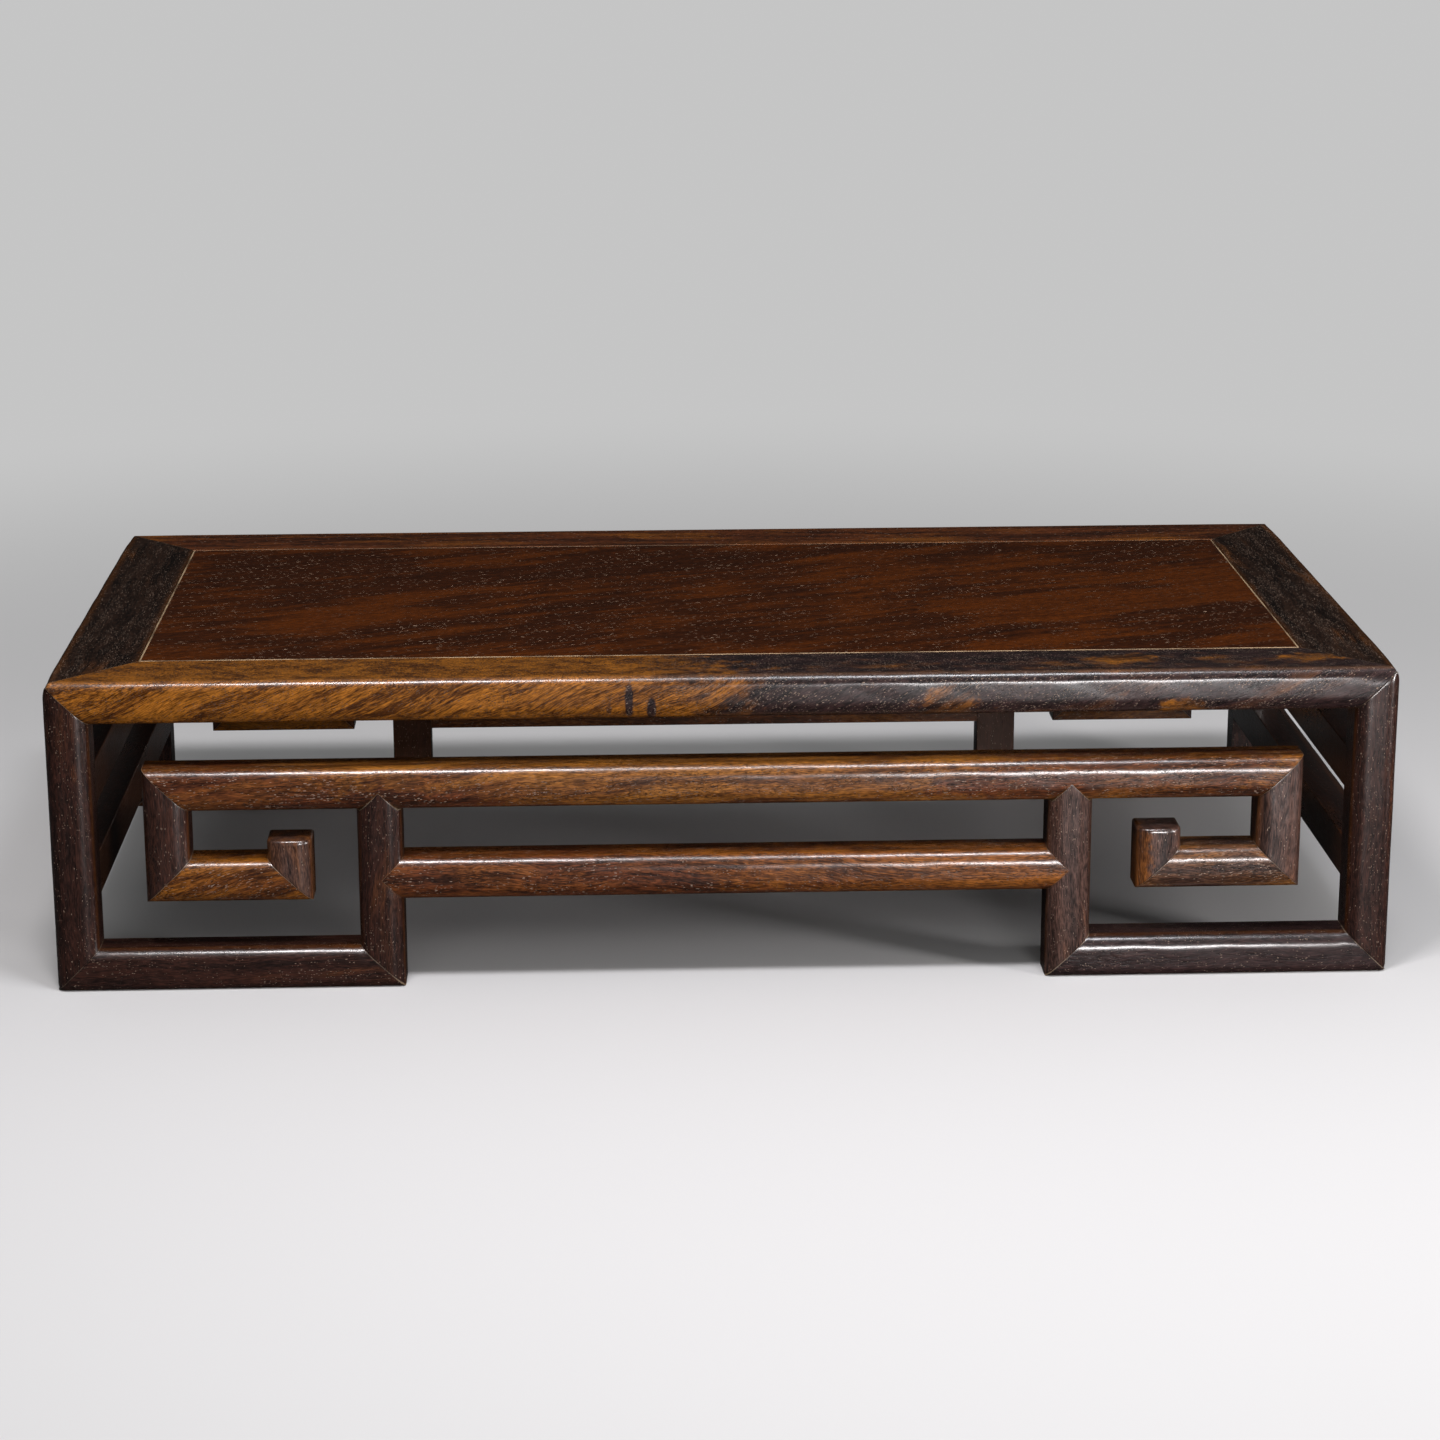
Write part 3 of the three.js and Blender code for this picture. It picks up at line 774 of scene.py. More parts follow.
# Frequency of each part of the figure along and across the grain, per metre, and its detail
FIGURE = {
    "Bands": ((8.0, 150.0, 150.0), 2.0),
    "Streaks": ((55.0, 800.0, 800.0), 2.0),
    "Fibres": ((240.0, 2300.0, 2300.0), 2.0),
    "Clouds": ((13.0, 34.0, 34.0), 3.0),
    "Ripple": ((230.0, 330.0, 330.0), 2.0),
}
FIGURE_ROUGHNESS = 0.58
PORE_GROUPS = (30.0, 170.0, 170.0)
SCRATCHES = (260.0, 1600.0, 1600.0)

# Frequency of the noises that bend the grain, per metre, by the input that gives their amount
BENDS = {"Sweep": 5.0, "Wander": 30.0}

# Offsets of the two sets of pores, in cells
PORE_SETS = ((0.0, 0.0, 0.0), (37.3, 11.7, 5.1))

# How much each part of the figure darkens or lightens the wood, and its relief in metres
TONE = {"Bands": 0.40, "Streaks": 0.32, "Fibres": 0.28}
RELIEF = {"Pores": -0.00010, "Fibres": 0.00013, "Streaks": 0.00014, "Ripple": 0.00016}

PORE_COLOR = (0.004, 0.002, 0.001)
GLUE_COLOR = (0.38, 0.29, 0.21)
EDGING_COLOR = (0.46, 0.33, 0.20)

# The coat of wax: its roughness and index, and what is left of it over fibres and pores
COAT_ROUGHNESS, COAT_IOR = 0.23, 1.75
FIBRE_WAX, PORE_WAX = 0.55, 0.1


class WoodShop:
    """Builds the shader groups once and makes a material for each piece from them."""

    def __init__(self) -> None:
        """Builds the shared groups."""
        self.figure = self._figure()
        self.stain = self._stain()
        self.wear_and_shade = self._wear_and_joint_shade()

    def _figure(self) -> bpy.types.NodeTree:
        """Growth bands, streaks, fibres, clouds of colour and open pores along the grain.

        Two slow noises first move the point, so that the lines sweep and wander. A pore is a
        drawn-out ellipsoid about the middle of a random cell, and a second set of cells lies
        between the first.

        Returns:
            A group that reads a vector with the grain along X, in metres.
        """
        tree, g, given, out = new_group(
            "wood_figure",
            {
                "Vector": (VECTOR, None),
                "Sweep": (FLOAT, 0.02),
                "Wander": (FLOAT, 0.006),
                "Pore Length": (FLOAT, 0.0034),
                "Pore Width": (FLOAT, 0.0006),
                "Pore Amount": (FLOAT, 0.5),
            },
            (*FIGURE, "Pores", "Shade"),
        )
        moved = given.outputs["Vector"]
        for amount, frequency in BENDS.items():
            inputs = {"Vector": moved, "Scale": frequency, "Detail": 0.0}
            slow = g.add("ShaderNodeTexNoise", inputs)
            centred = g.vector_math("SUBTRACT", slow.outputs["Color"], (0.5, 0.5, 0.5))
            inputs = {0: centred, 3: given.outputs[amount]}
            scaled = g.add("ShaderNodeVectorMath", inputs, operation="SCALE")
            moved = g.vector_math("ADD", moved, scaled.outputs["Vector"])
        for key, (scale, detail) in FIGURE.items():
            part = g.noise(g.scaled(moved, scale), 1.0, detail, FIGURE_ROUGHNESS)
            g.feed(out.inputs[key], part)
        length, width = given.outputs["Pore Length"], given.outputs["Pore Width"]
        size = g.add("ShaderNodeCombineXYZ", {0: length, 1: width, 2: width})
        cells = g.vector_math("DIVIDE", moved, size.outputs[0])
        # Pores crowd in streaks: from 0.15 to 1.7 times the usual number
        groups = g.noise(g.scaled(moved, PORE_GROUPS), 1.0, 2.0, 0.6)
        clump = g.fit(groups, 0.36, 0.64, 0.15, 1.7)
        wanted = g.math("MULTIPLY", given.outputs["Pore Amount"], clump)
        masks, shades = [], []
        for offset in PORE_SETS:
            place = g.vector_math("ADD", cells, offset)
            node = g.add("ShaderNodeTexVoronoi", {"Vector": place, "Scale": 1.0, "Randomness": 1.0})
            # A cell's random colour says whether it has a pore, how large and how pale it is
            parts = g.add("ShaderNodeSeparateColor", {0: node.outputs["Color"]})
            present = g.math("LESS_THAN", parts.outputs[0], wanted)
            core = g.math("MULTIPLY_ADD", parts.outputs[1], 0.16, 0.20)
            body = g.math("SUBTRACT", core, node.outputs["Distance"])
            masks.append(g.math("MULTIPLY", g.fit(body, -0.05, 0.06), present))
            shades.append(parts.outputs[2])
        g.feed(out.inputs["Pores"], g.math("MAXIMUM", masks[0], masks[1]))
        g.feed(out.inputs["Shade"], shades[0])
        return tree

    def _stain(self) -> bpy.types.NodeTree:
        """A ragged patch of other coloured wood round a point.

        The distance from the centre is counted in reaches, and noise makes it uneven.

        Returns:
            A group that puts out the strength inside the patch and 0 outside.
        """
        tree, g, given, out = new_group(
            "wood_stain",
            {
                "Vector": (VECTOR, None),
                "Centre": (VECTOR, (0.0, 0.0, 0.0)),
                "Reach": (VECTOR, (0.01, 0.01, 0.01)),
                "Ragged": (FLOAT, 0.5),
                "Strength": (FLOAT, 1.0),
            },
            ("Mask",),
        )
        away = g.vector_math("SUBTRACT", given.outputs["Vector"], given.outputs["Centre"])
        scaled = g.vector_math("DIVIDE", away, given.outputs["Reach"])
        rough = g.noise(given.outputs["Vector"], 170.0, 4.0, 0.65)
        rough = g.math("MULTIPLY", g.math("SUBTRACT", rough, 0.5), given.outputs["Ragged"])
        distance = g.math("MULTIPLY_ADD", rough, 4.0, g.vector_math("LENGTH", scaled))
        mask = g.fit(distance, 0.55, 1.25, 1.0, 0.0)
        g.feed(out.inputs["Mask"], g.math("MULTIPLY", mask, given.outputs["Strength"]))
        return tree

    def _wear_and_joint_shade(self) -> bpy.types.NodeTree:
        """Rubbed arrises, joint lines with painted shade, and scuffs, from each piece's own distances in
        mm.

        Returns:
            A group that puts out masks of rubbed wood, glue at a joint, painted shade along
            the joints, a pale edging line and scuffs.
        """
        tree, g, given, out = new_group(
            "wood_wear_and_joint_shade",
            {"Vector": (VECTOR, None), "Border": (FLOAT, 0.0)},
            ("Rubbed", "Seam", "Corner", "Edging", "Scuffs"),
        )
        arris = g.add("ShaderNodeAttribute", attribute_name="arris").outputs["Fac"]
        seam = g.add("ShaderNodeAttribute", attribute_name="seam").outputs["Fac"]
        broken = g.noise(given.outputs["Vector"], 240.0, 3.0, 0.7)
        near = g.math("MULTIPLY_ADD", g.math("SUBTRACT", broken, 0.5), 1.7, arris)
        g.feed(out.inputs["Rubbed"], g.fit(near, 0.0, 1.1, 1.0, 0.0))
        # A joint shows a thin line of glue in places, and painted shade darkens the wood a little beside
        # it
        patchy = g.fit(g.noise(given.outputs["Vector"], 90.0, 3.0, 0.6), 0.42, 0.60)
        line = g.fit(seam, 0.12, 0.42, 1.0, 0.0)
        g.feed(out.inputs["Seam"], g.math("MULTIPLY", line, patchy))
        # Painted shade: 1 at a joint, fading to 0 at 1.5 mm from it
        g.feed(out.inputs["Corner"], g.fit(seam, 0.1, 1.5, 1.0, 0.0))
        # The edging line is pale within the border's width, stronger and weaker along it
        inside = g.math("SUBTRACT", given.outputs["Border"], seam)
        uneven = g.fit(g.noise(given.outputs["Vector"], 38.0, 3.0, 0.6), 0.34, 0.58, 0.25, 1.0)
        g.feed(out.inputs["Edging"], g.math("MULTIPLY", g.fit(inside, -0.06, 0.06), uneven))
        thin = g.noise(g.scaled(given.outputs["Vector"], SCRATCHES), 1.0, 4.0, 0.7)
        g.feed(out.inputs["Scuffs"], g.fit(thin, 0.66, 0.8))
        return tree


class Grain(Enum):
    """Which way a piece's grain runs, as the turn that brings it to X."""

    ALONG_X = (0.0, 0.0, 0.0)
    ALONG_Y = (0.0, 0.0, -math.pi / 2)
    ALONG_Z = (0.0, math.pi / 2, 0.0)


@dataclass(frozen=True)
class Patch:
    """A patch of sapwood or of dark heartwood.

    Attributes:
        centre: Its middle in the table's frame, in mm.
        reach: How far it reaches along X, Y and Z, in mm.
        light: How much sapwood it adds; below 0 it takes sapwood away.
        ragged: How uneven its outline is.
    """

    centre: tuple[float, float, float]
    reach: tuple[float, float, float]
    light: float
    ragged: float = 0.5


@dataclass(frozen=True)
class Finish:
    """A waxed hardwood.

    Attributes:
        name: Its name, which is not used.
        heart: Darkest and lightest heartwood.
        sap: Darkest and lightest sapwood.
        share: How much of the wood is sapwood: about 0 is little, and 1 is nearly all.
        clouds: How strongly heartwood and sapwood cloud into each other.
        pale: Colour of the wax in a filled pore.
        pores: How many pores there are.
        pore_size: Spacing of the pores along and across the grain, in mm.
        pore_pale: How many of the heartwood's pores are filled with pale wax.
        tilt: Turn of the figure in the plane of the face, in degrees.
        slant: Turn of the figure in plan, in degrees.
        contrast: Range of the figure that goes from dark to light; less is harder.
        roughness: Roughness of the waxed surface.
        gloss: How much the wood itself shines, beside its wax.
        wax: How much of the surface still has its wax.
        rubbed: How much the arrises are rubbed.
        seam_pale: How much pale glue shows along the joints.
        border: Width of the pale line along the panel's edge, in mm.
        patches: Patches of lighter or darker wood.
    """

    name: str
    heart: tuple[Color, Color]
    sap: tuple[Color, Color]
    share: float = 0.3
    clouds: float = 0.6
    pale: Color = (0.40, 0.29, 0.22)
    pores: float = 0.2
    pore_size: tuple[float, float] = (2.0, 0.46)
    pore_pale: float = 0.6
    tilt: float = 0.0
    slant: float = 0.0
    contrast: float = 0.10
    roughness: float = 0.31
    gloss: float = 0.3
    wax: float = 1.0
    rubbed: float = 0.3
    seam_pale: float = 0.14
    border: float = 0.0
    patches: tuple[Patch, ...] = ()


HEART_BROWN = ((0.0120, 0.0046, 0.0032), (0.052, 0.0175, 0.0105))
HEART_UMBER = ((0.0088, 0.0033, 0.0024), (0.037, 0.0124, 0.0078))
# Purple-brown heartwood whose grey-blue cast is partly painted sheen
HEART_PURPLE_WITH_SHEEN = ((0.0078, 0.0041, 0.0042), (0.031, 0.0146, 0.0138))
# Paler mauve heartwood whose pale grey cast is partly painted sheen
HEART_MAUVE_WITH_SHEEN = ((0.0170, 0.0085, 0.0068), (0.088, 0.0440, 0.0330))
HEART_BLACK = ((0.0055, 0.0032, 0.0024), (0.024, 0.0120, 0.0075))
HEART_RED = ((0.0090, 0.0026, 0.0008), (0.052, 0.0118, 0.0016))
HEART_RUSSET = ((0.024, 0.0075, 0.0030), (0.115, 0.0310, 0.0090))
SAP_GOLD = ((0.066, 0.0195, 0.0022), (0.290, 0.1020, 0.0095))
SAP_PALE = ((0.082, 0.0270, 0.0045), (0.290, 0.1120, 0.0170))
SAP_AMBER = ((0.070, 0.0200, 0.0032), (0.230, 0.0760, 0.0120))
SAP_RED = ((0.036, 0.0080, 0.0008), (0.112, 0.0255, 0.0017))

DARK = Finish(
    "dark_wood", HEART_UMBER, SAP_AMBER, share=-0.1, clouds=0.35, pores=0.10, pore_size=(1.3, 0.34),
    contrast=0.15, gloss=0.12,
)
BROWN = Finish(
    "brown_wood", HEART_BROWN, SAP_AMBER, share=0.0, clouds=0.4, pores=0.06, pore_size=(1.6, 0.40),
    contrast=0.14,
)
GOLD = Finish(
    "golden_wood", HEART_RUSSET, SAP_GOLD, share=0.66, clouds=0.35, pores=0.6, pore_pale=0.25, tilt=3.0,
    contrast=0.12, gloss=0.12, wax=0.9,
)
RUSSET = Finish(
    "brown_wood", HEART_RUSSET, SAP_AMBER, share=0.30, pores=0.35, pore_pale=0.35, tilt=-4.0,
    gloss=0.12, wax=0.9,
)
RED = Finish(
    "red_wood", HEART_RED, SAP_RED, share=0.36, clouds=0.9, pale=(0.80, 0.55, 0.38), pores=0.09,
    pore_size=(3.2, 0.34), pore_pale=0.80, slant=-20.0, contrast=0.36, roughness=0.34, gloss=0.05,
    wax=0.32, border=0.75,
    patches=(
        Patch((-38, 75, 143), (42, 32, 9), -0.55),
        Patch((-205, 80, 143), (50, 34, 9), -0.45),
        Patch((175, 0, 143), (100, 75, 9), 0.3),
    ),
)
END = Finish(
    "dark_wood", HEART_BLACK, SAP_AMBER, share=0.0, clouds=0.4, pores=0.26, pore_size=(1.3, 0.42),
    pore_pale=0.95, gloss=0.03, wax=0.42,
)
PLAIN = Finish(
    "plain_wood", HEART_RUSSET, SAP_AMBER, share=0.5, pore_pale=0.0, roughness=0.75, rubbed=0.1,
)


class WoodMaterial:
    """A procedural waxed wood for one piece."""

    def __init__(self, shop: WoodShop, name: str, finish: Finish, grain: Grain) -> None:
        """Builds the material.

        Args:
            shop: The shared groups.
            name: The piece's name, which also picks its stretch of wood.
            finish: Colours and amounts.
            grain: Which way the grain runs.
        """
        self.shop, self.finish = shop, finish
        self.material = bpy.data.materials.new(name + "_finish")
        self.material.use_nodes = True
        self.material.node_tree.nodes.clear()
        self.g = Graph(self.material.node_tree)
        rng = np.random.default_rng(zlib.crc32(name.encode()))
        seat = tuple(float(x) for x in rng.uniform(-3, 3, 3))
        self.here = self.g.add("ShaderNodeTexCoord").outputs["Object"]
        turned = self.g.add("ShaderNodeMapping", {"Vector": self.here, "Rotation": grain.value})
        angles = (0.0, math.radians(finish.tilt), math.radians(finish.slant))
        grained = self.g.add(
            "ShaderNodeMapping", {"Vector": turned.outputs[0], "Rotation": angles, "Location": seat}
        )
        self.figure = self._grouped(
            shop.figure,
            {
                "Vector": grained.outputs[0],
                "Pore Length": finish.pore_size[0] * MM,
                "Pore Width": finish.pore_size[1] * MM,
                "Pore Amount": finish.pores,
            },
        )
        self.wear_and_shade = self._grouped(shop.wear_and_shade, {"Vector": self.here, "Border": finish.border})
        self._surface()

    def _grouped(
        self, tree: bpy.types.NodeTree, inputs: dict[str, Socket]
    ) -> bpy.types.NodeOutputs:
        """Places a shared group.

        Args:
            tree: The group.
            inputs: Values or sockets by the name of the input.

        Returns:
            Its outputs.
        """
        node = self.g.add("ShaderNodeGroup", node_tree=tree)
        for key, value in inputs.items():
            self.g.feed(node.inputs[key], value)
        return node.outputs

    def _summed(self, shares: dict[str, float]) -> Socket:
        """Sum of some outputs of the figure, each times its share.

        Args:
            shares: The share by the output's name.

        Returns:
            The sum.
        """
        total: Socket = 0.0
        for key, share in shares.items():
            total = self.g.math("MULTIPLY_ADD", self.figure[key], share, total)
        return total

    def _sapwood(self) -> Socket:
        """How much sapwood there is at a point, with the finish's own patches.

        Returns:
            A value from 0 to 1.
        """
        g, finish = self.g, self.finish
        clouds = g.math("SUBTRACT", self.figure["Clouds"], 0.5)
        bands = g.math("SUBTRACT", self.figure["Bands"], 0.5)
        blend = g.math("MULTIPLY_ADD", clouds, finish.clouds * 4, finish.share)
        blend = g.math("MULTIPLY_ADD", bands, 1.1, blend)
        for patch in finish.patches:
            stain = self._grouped(
                self.shop.stain,
                {
                    "Vector": self.here,
                    "Centre": tuple(x * MM for x in patch.centre),
                    "Reach": tuple(x * MM for x in patch.reach),
                    "Ragged": patch.ragged,
                    "Strength": patch.light,
                },
            )
            blend = g.math("ADD", blend, stain["Mask"])
        return g.fit(blend, 0.05, 0.95)

    def _color(self, sapwood: Socket) -> Socket:
        """The wood's colour: heartwood and sapwood, then fibres, pores, joints with painted shade, and
        rubbed arrises.

        Args:
            sapwood: How much sapwood there is.

        Returns:
            The colour.
        """
        g, finish = self.g, self.finish
        tone = g.fit(self._summed(TONE), 0.5 - finish.contrast, 0.5 + finish.contrast)
        color = g.mix(sapwood, g.mix(tone, *finish.heart), g.mix(tone, *finish.sap))
        # Fibres and the ripple vary the colour by a factor, and painted shade darkens it along the joints
        fibre = g.fit(self.figure["Fibres"], 0.32, 0.68, 0.62, 1.34)
        ripple = g.fit(self.figure["Ripple"], 0.3, 0.7, 0.86, 1.12)
        corner = g.fit(self.wear_and_shade["Corner"], 0.0, 1.0, 1.0, 0.75)
        shade = g.math("MULTIPLY", g.math("MULTIPLY", fibre, ripple), corner)
        grey = g.add("ShaderNodeCombineColor", {0: shade, 1: shade, 2: shade}).outputs[0]
        color = g.mix(1.0, color, grey, "MULTIPLY")
        # A pore is filled with pale wax or dark and open; sapwood has fewer filled ones
        filled = g.fit(g.math("SUBTRACT", finish.pore_pale, self.figure["Shade"]), -0.12, 0.12)
        filled = g.math("MULTIPLY", filled, g.math("MULTIPLY_ADD", sapwood, -0.75, 1.0))
        deep = g.mix(0.75, color, PORE_COLOR)
        wax = g.mix(g.fit(self.figure["Shade"], 0.0, 0.8, 0.95, 0.35), color, finish.pale)
        color = g.mix(self.figure["Pores"], color, g.mix(filled, deep, wax))
        # Rubbed arrises are lighter, and pale glue and edging lie over everything
        bright = g.mix(0.5, color, finish.sap[1])
        color = g.mix(g.math("MULTIPLY", self.wear_and_shade["Rubbed"], finish.rubbed), color, bright)
        glue = g.math("MULTIPLY", self.wear_and_shade["Seam"], finish.seam_pale)
        color = g.mix(glue, color, GLUE_COLOR)
        return g.mix(self.wear_and_shade["Edging"], color, EDGING_COLOR)

    def _surface(self) -> None:
        """Joins colour, roughness and fine relief in one waxed surface."""
        g, finish = self.g, self.finish
        sapwood = self._sapwood()
        # What the clouds, the fibres, an open pore and a scuff add to the roughness
        clouded, fibrous, open_pore, scuffed = 0.05, 0.12, 0.2, 0.12
        most, least = finish.roughness + clouded, finish.roughness - clouded
        rough = g.math("SUBTRACT", g.fit(self.figure["Clouds"], 0.3, 0.7, most, least), fibrous / 2)
        rough = g.math("MULTIPLY_ADD", self.figure["Fibres"], fibrous, rough)
        rough = g.math("MULTIPLY_ADD", self.figure["Pores"], open_pore, rough)
        rough = g.math("MULTIPLY_ADD", self.wear_and_shade["Scuffs"], scuffed, rough, clamp=True)
        height = self._summed(RELIEF)
        bump = g.add("ShaderNodeBump", {"Strength": 1.0, "Distance": 1.0, "Height": height})
        broken = g.fit(self.figure["Fibres"], 0.30, 0.70, FIBRE_WAX * finish.wax, finish.wax)
        coat = g.fit(self.figure["Pores"], 0.0, 1.0, broken, PORE_WAX)
        shader = g.add(
            "ShaderNodeBsdfPrincipled",
            {
                "Base Color": self._color(sapwood),
                "Roughness": rough,
                "Normal": bump.outputs[0],
                "Specular IOR Level": finish.gloss,
                "Coat Weight": coat,
                "Coat Roughness": COAT_ROUGHNESS,
                "Coat IOR": COAT_IOR,
            },
        )
        out = g.add("ShaderNodeOutputMaterial")
        g.feed(out.inputs["Surface"], shader.outputs[0])


# Sub-assemblies


@dataclass(frozen=True)
class Layout:
    """Measures that the sub-assemblies share, in mm, as in the CAD."""

    length: float = 604.0
    depth: float = 310.0
    post: float = 19.5
    upright: float = 20.0
    rail: float = 19.5
    foot: float = 19.0
    top: float = 19.5
    lower_bottom: float = 41.0
    upper_bottom: float = 83.3
    frame_bottom: float = 124.0
    height: float = 143.5
    upright_inner: float = 145.2
    tip_inner: float = 185.7
    scroll_inner: float = 240.2

    @property
    def end(self) -> float:
        """Half the length."""
        return self.length / 2

    @property
    def face(self) -> float:
        """Y of the front face."""
        return -self.depth / 2


class Side(Enum):
    """A long side of the table; the back is the front turned half round."""

    FRONT = "front"
    BACK = "back"

    @property
    def turn(self) -> int:
        """1 for the front and -1 for the back."""
        return 1 if self is Side.FRONT else -1

    def hand(self, side: int) -> str:
        """Viewer's left or right for a piece made at -X (side -1) or +X (side 1)."""
        return "left" if side * self.turn < 0 else "right"


class Table:
    """Collects the pieces: meshes them, dresses them and ties them to the frame."""

    def __init__(self, special: dict[str, Finish]) -> None:
        """Makes the shared node groups.

        Args:
            special: Finishes of the pieces that have wood of their own, by node name.
        """
        self.shop = WoodShop()
        self.special = special
        self.count = 0

    def fit(self, node: str, points: Array) -> float:
        """How far a piece's box lies from its CAD node's box.

        Args:
            node: Name of the CAD node.
            points: The piece's points, in mm.

        Returns:
            The largest difference of the corners' coordinates, in mm.
        """
        low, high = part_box(node)
        ours = np.concatenate([points.min(0), points.max(0)])
        return float(np.abs(ours - np.array([*low, *high]) / MM).max())

    def add(
        self, node: str, lattice: Array, values: dict[str, Array], finish: Finish, grain: Grain
    ) -> None:
        """Makes the piece that stands for a CAD node.

        Args:
            node: Name of the CAD node.
            lattice: The piece's points in the table's frame, in mm.
            values: Attributes of the points.
            finish: The finish, unless the piece has one of its own.
            grain: Which way the grain runs.
        """
        finish = self.special.get(node, finish)
        points, quads, kept = shell(lattice, values)
        piece = make_piece(node + "_wood", points, quads, kept)
        piece.data.materials.append(WoodMaterial(self.shop, node, finish, grain).material)
        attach(piece, "root")
        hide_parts(node)
        self.count += 1
        off = self.fit(node, points)
        LOG.info("%s: %d faces, %.2f mm from its node's box", node, len(quads), off)


def to_front(
    lattice: Array, origin: tuple[float, float, float], upright: bool, side: int, turn: int
) -> Array:
    """Turns a fret member's own places into the table's frame.

    Args:
        lattice: Points as (along, across, depth), in mm.
        origin: Zero of X, Y and Z for the piece, in mm.
        upright: True if it stands; across is then X and along is Z.
        side: 1 on the +X side and -1 for its mirror image.
        turn: -1 turns the piece half round to the back.

    Returns:
        Points as (X, Y, Z), in mm.
    """
    along, across, depth = (lattice[..., k] for k in range(3))
    x = (across if upright else along) + origin[0]
    z = (along if upright else across) + origin[2]
    return np.stack([x * side * turn, (depth + origin[1]) * turn, z], -1)


def to_end(lattice: Array, low: float, out: float, turn: int) -> Array:
    """Turns the own places of a member along Y into the table's frame.

    Args:
        lattice: Points as (along, across, depth), in mm.
        low: Z of its low side, in mm.
        out: Distance of its face from the table's middle, in mm.
        turn: 1 at the left end and -1 half round at the right end.

    Returns:
        Points as (X, Y, Z), in mm.
    """
    along, across, depth = (lattice[..., k] for k in range(3))
    return np.stack([(depth - out) * turn, along * turn, across + low], -1)


@dataclass
class FretSide:
    """One long side's fret: rails, inner uprights, scrolls and foot rails.

    Attributes:
        layout: Shared measures.
        side: Which long side it is.
        thickness: Depth of its members, in mm.
        upright_reach: Reach of the inner uprights' pointed heads, in mm.
        rail_reach: Reach of the lower rail's pointed ends, in mm.
        tip_rise: Height of the scroll's tip above its rail, in mm.
        zones: Lengths over which the grain lines turn at the inner upright's head and at the
            tip's foot and top, in mm.
    """

    layout: Layout
    side: Side
    thickness: float = 19.5
    upright_reach: float = 8.3
    rail_reach: float = 9.5
    tip_rise: float = 9.5
    zones: tuple[float, float, float] = (20.0, 25.0, 3.0)

    def build(self, table: Table) -> None:
        """Builds every member of this side.

        Args:
            table: Collects the pieces.
        """
        at = self.layout
        outer = at.scroll_inner + at.upright
        middle = at.upright_inner + at.upright / 2
        self._add(
            table, "upper_rail", 0, False, at.upper_bottom, at.rail,
            (End(-outer, low=at.upright), End(outer, low=at.upright)), GOLD,
            notches=(Notch(-middle, self.upright_reach), Notch(middle, self.upright_reach)),
        )
        inner, reach = at.upright_inner, self.rail_reach
        self._add(
            table, "lower_rail", 0, False, at.lower_bottom, at.rail,
            (End(-inner, reach=reach), End(inner, reach=reach)), RUSSET,
        )
        for side in (-1, 1):
            self._scroll(table, side)

    def _scroll(self, table: Table, side: int) -> None:
        """Builds the foot rail, the inner upright and the hanging scroll at one end.

        Args:
            table: Collects the pieces.
            side: 1 on the +X side and -1 for its mirror image.
        """
        at = self.layout
        tip_top = at.lower_bottom + at.rail + self.tip_rise
        head, tip_foot, tip = self.zones
        self._add(
            table, "foot_rail", side, False, 0.0, at.foot,
            (End(at.upright_inner, high=at.upright), End(at.end, high=at.post, corner=True)), DARK,
            low_edge=FLOOR_EDGE,
        )
        self._add(
            table, "inner_upright", side, True, at.upright_inner, at.upright,
            (End(0.0, high=at.foot), End(at.upper_bottom, reach=self.upright_reach, zone=head)), DARK,
            notches=(Notch(at.lower_bottom + at.rail / 2, self.rail_reach),),
        )
        self._add(
            table, "scroll_upright", side, True, at.scroll_inner, at.upright,
            (End(at.lower_bottom, low=at.rail), End(at.upper_bottom + at.rail, low=at.rail)), BROWN,
        )
        self._add(
            table, "scroll_rail", side, False, at.lower_bottom, at.rail,
            (End(at.tip_inner, high=at.upright), End(at.scroll_inner + at.upright, high=at.upright)), GOLD,
        )
        self._add(
            table, "scroll_tip", side, True, at.tip_inner, at.upright,
            (End(at.lower_bottom, high=at.rail, zone=tip_foot), End(tip_top, zone=tip, eased=True)), BROWN,
        )

    def _add(
        self, table: Table, part: str, side: int, upright: bool, low: float, width: float,
        ends: tuple[End, End], usual: Finish, **more: object
    ) -> None:
        """Builds one member, puts it in its place and dresses it.

        Args:
            table: Collects the piece.
            part: The member's name without its place.
            side: 1 on the +X side, -1 for its mirror image and 0 for a member of both.
            upright: True if it stands.
            low: Place of its low side, in Z if it lies and in X if it stands, in mm.
            width: Width across its face, in mm.
            ends: Its start and its end.
            usual: Its finish unless another is named for it.
            **more: Further attributes of the member.
        """
        hand = "_" + self.side.hand(side) if side else ""
        member = Member(f"{self.side.value}_{part}{hand}", width, self.thickness, *ends, **more)
        lattice, values = member.lattice()
        origin = (low, self.layout.face, 0.0) if upright else (0.0, self.layout.face, low)
        placed = to_front(lattice, origin, upright, side or 1, self.side.turn)
        table.add(member.name, placed, values, usual, Grain.ALONG_Z if upright else Grain.ALONG_X)


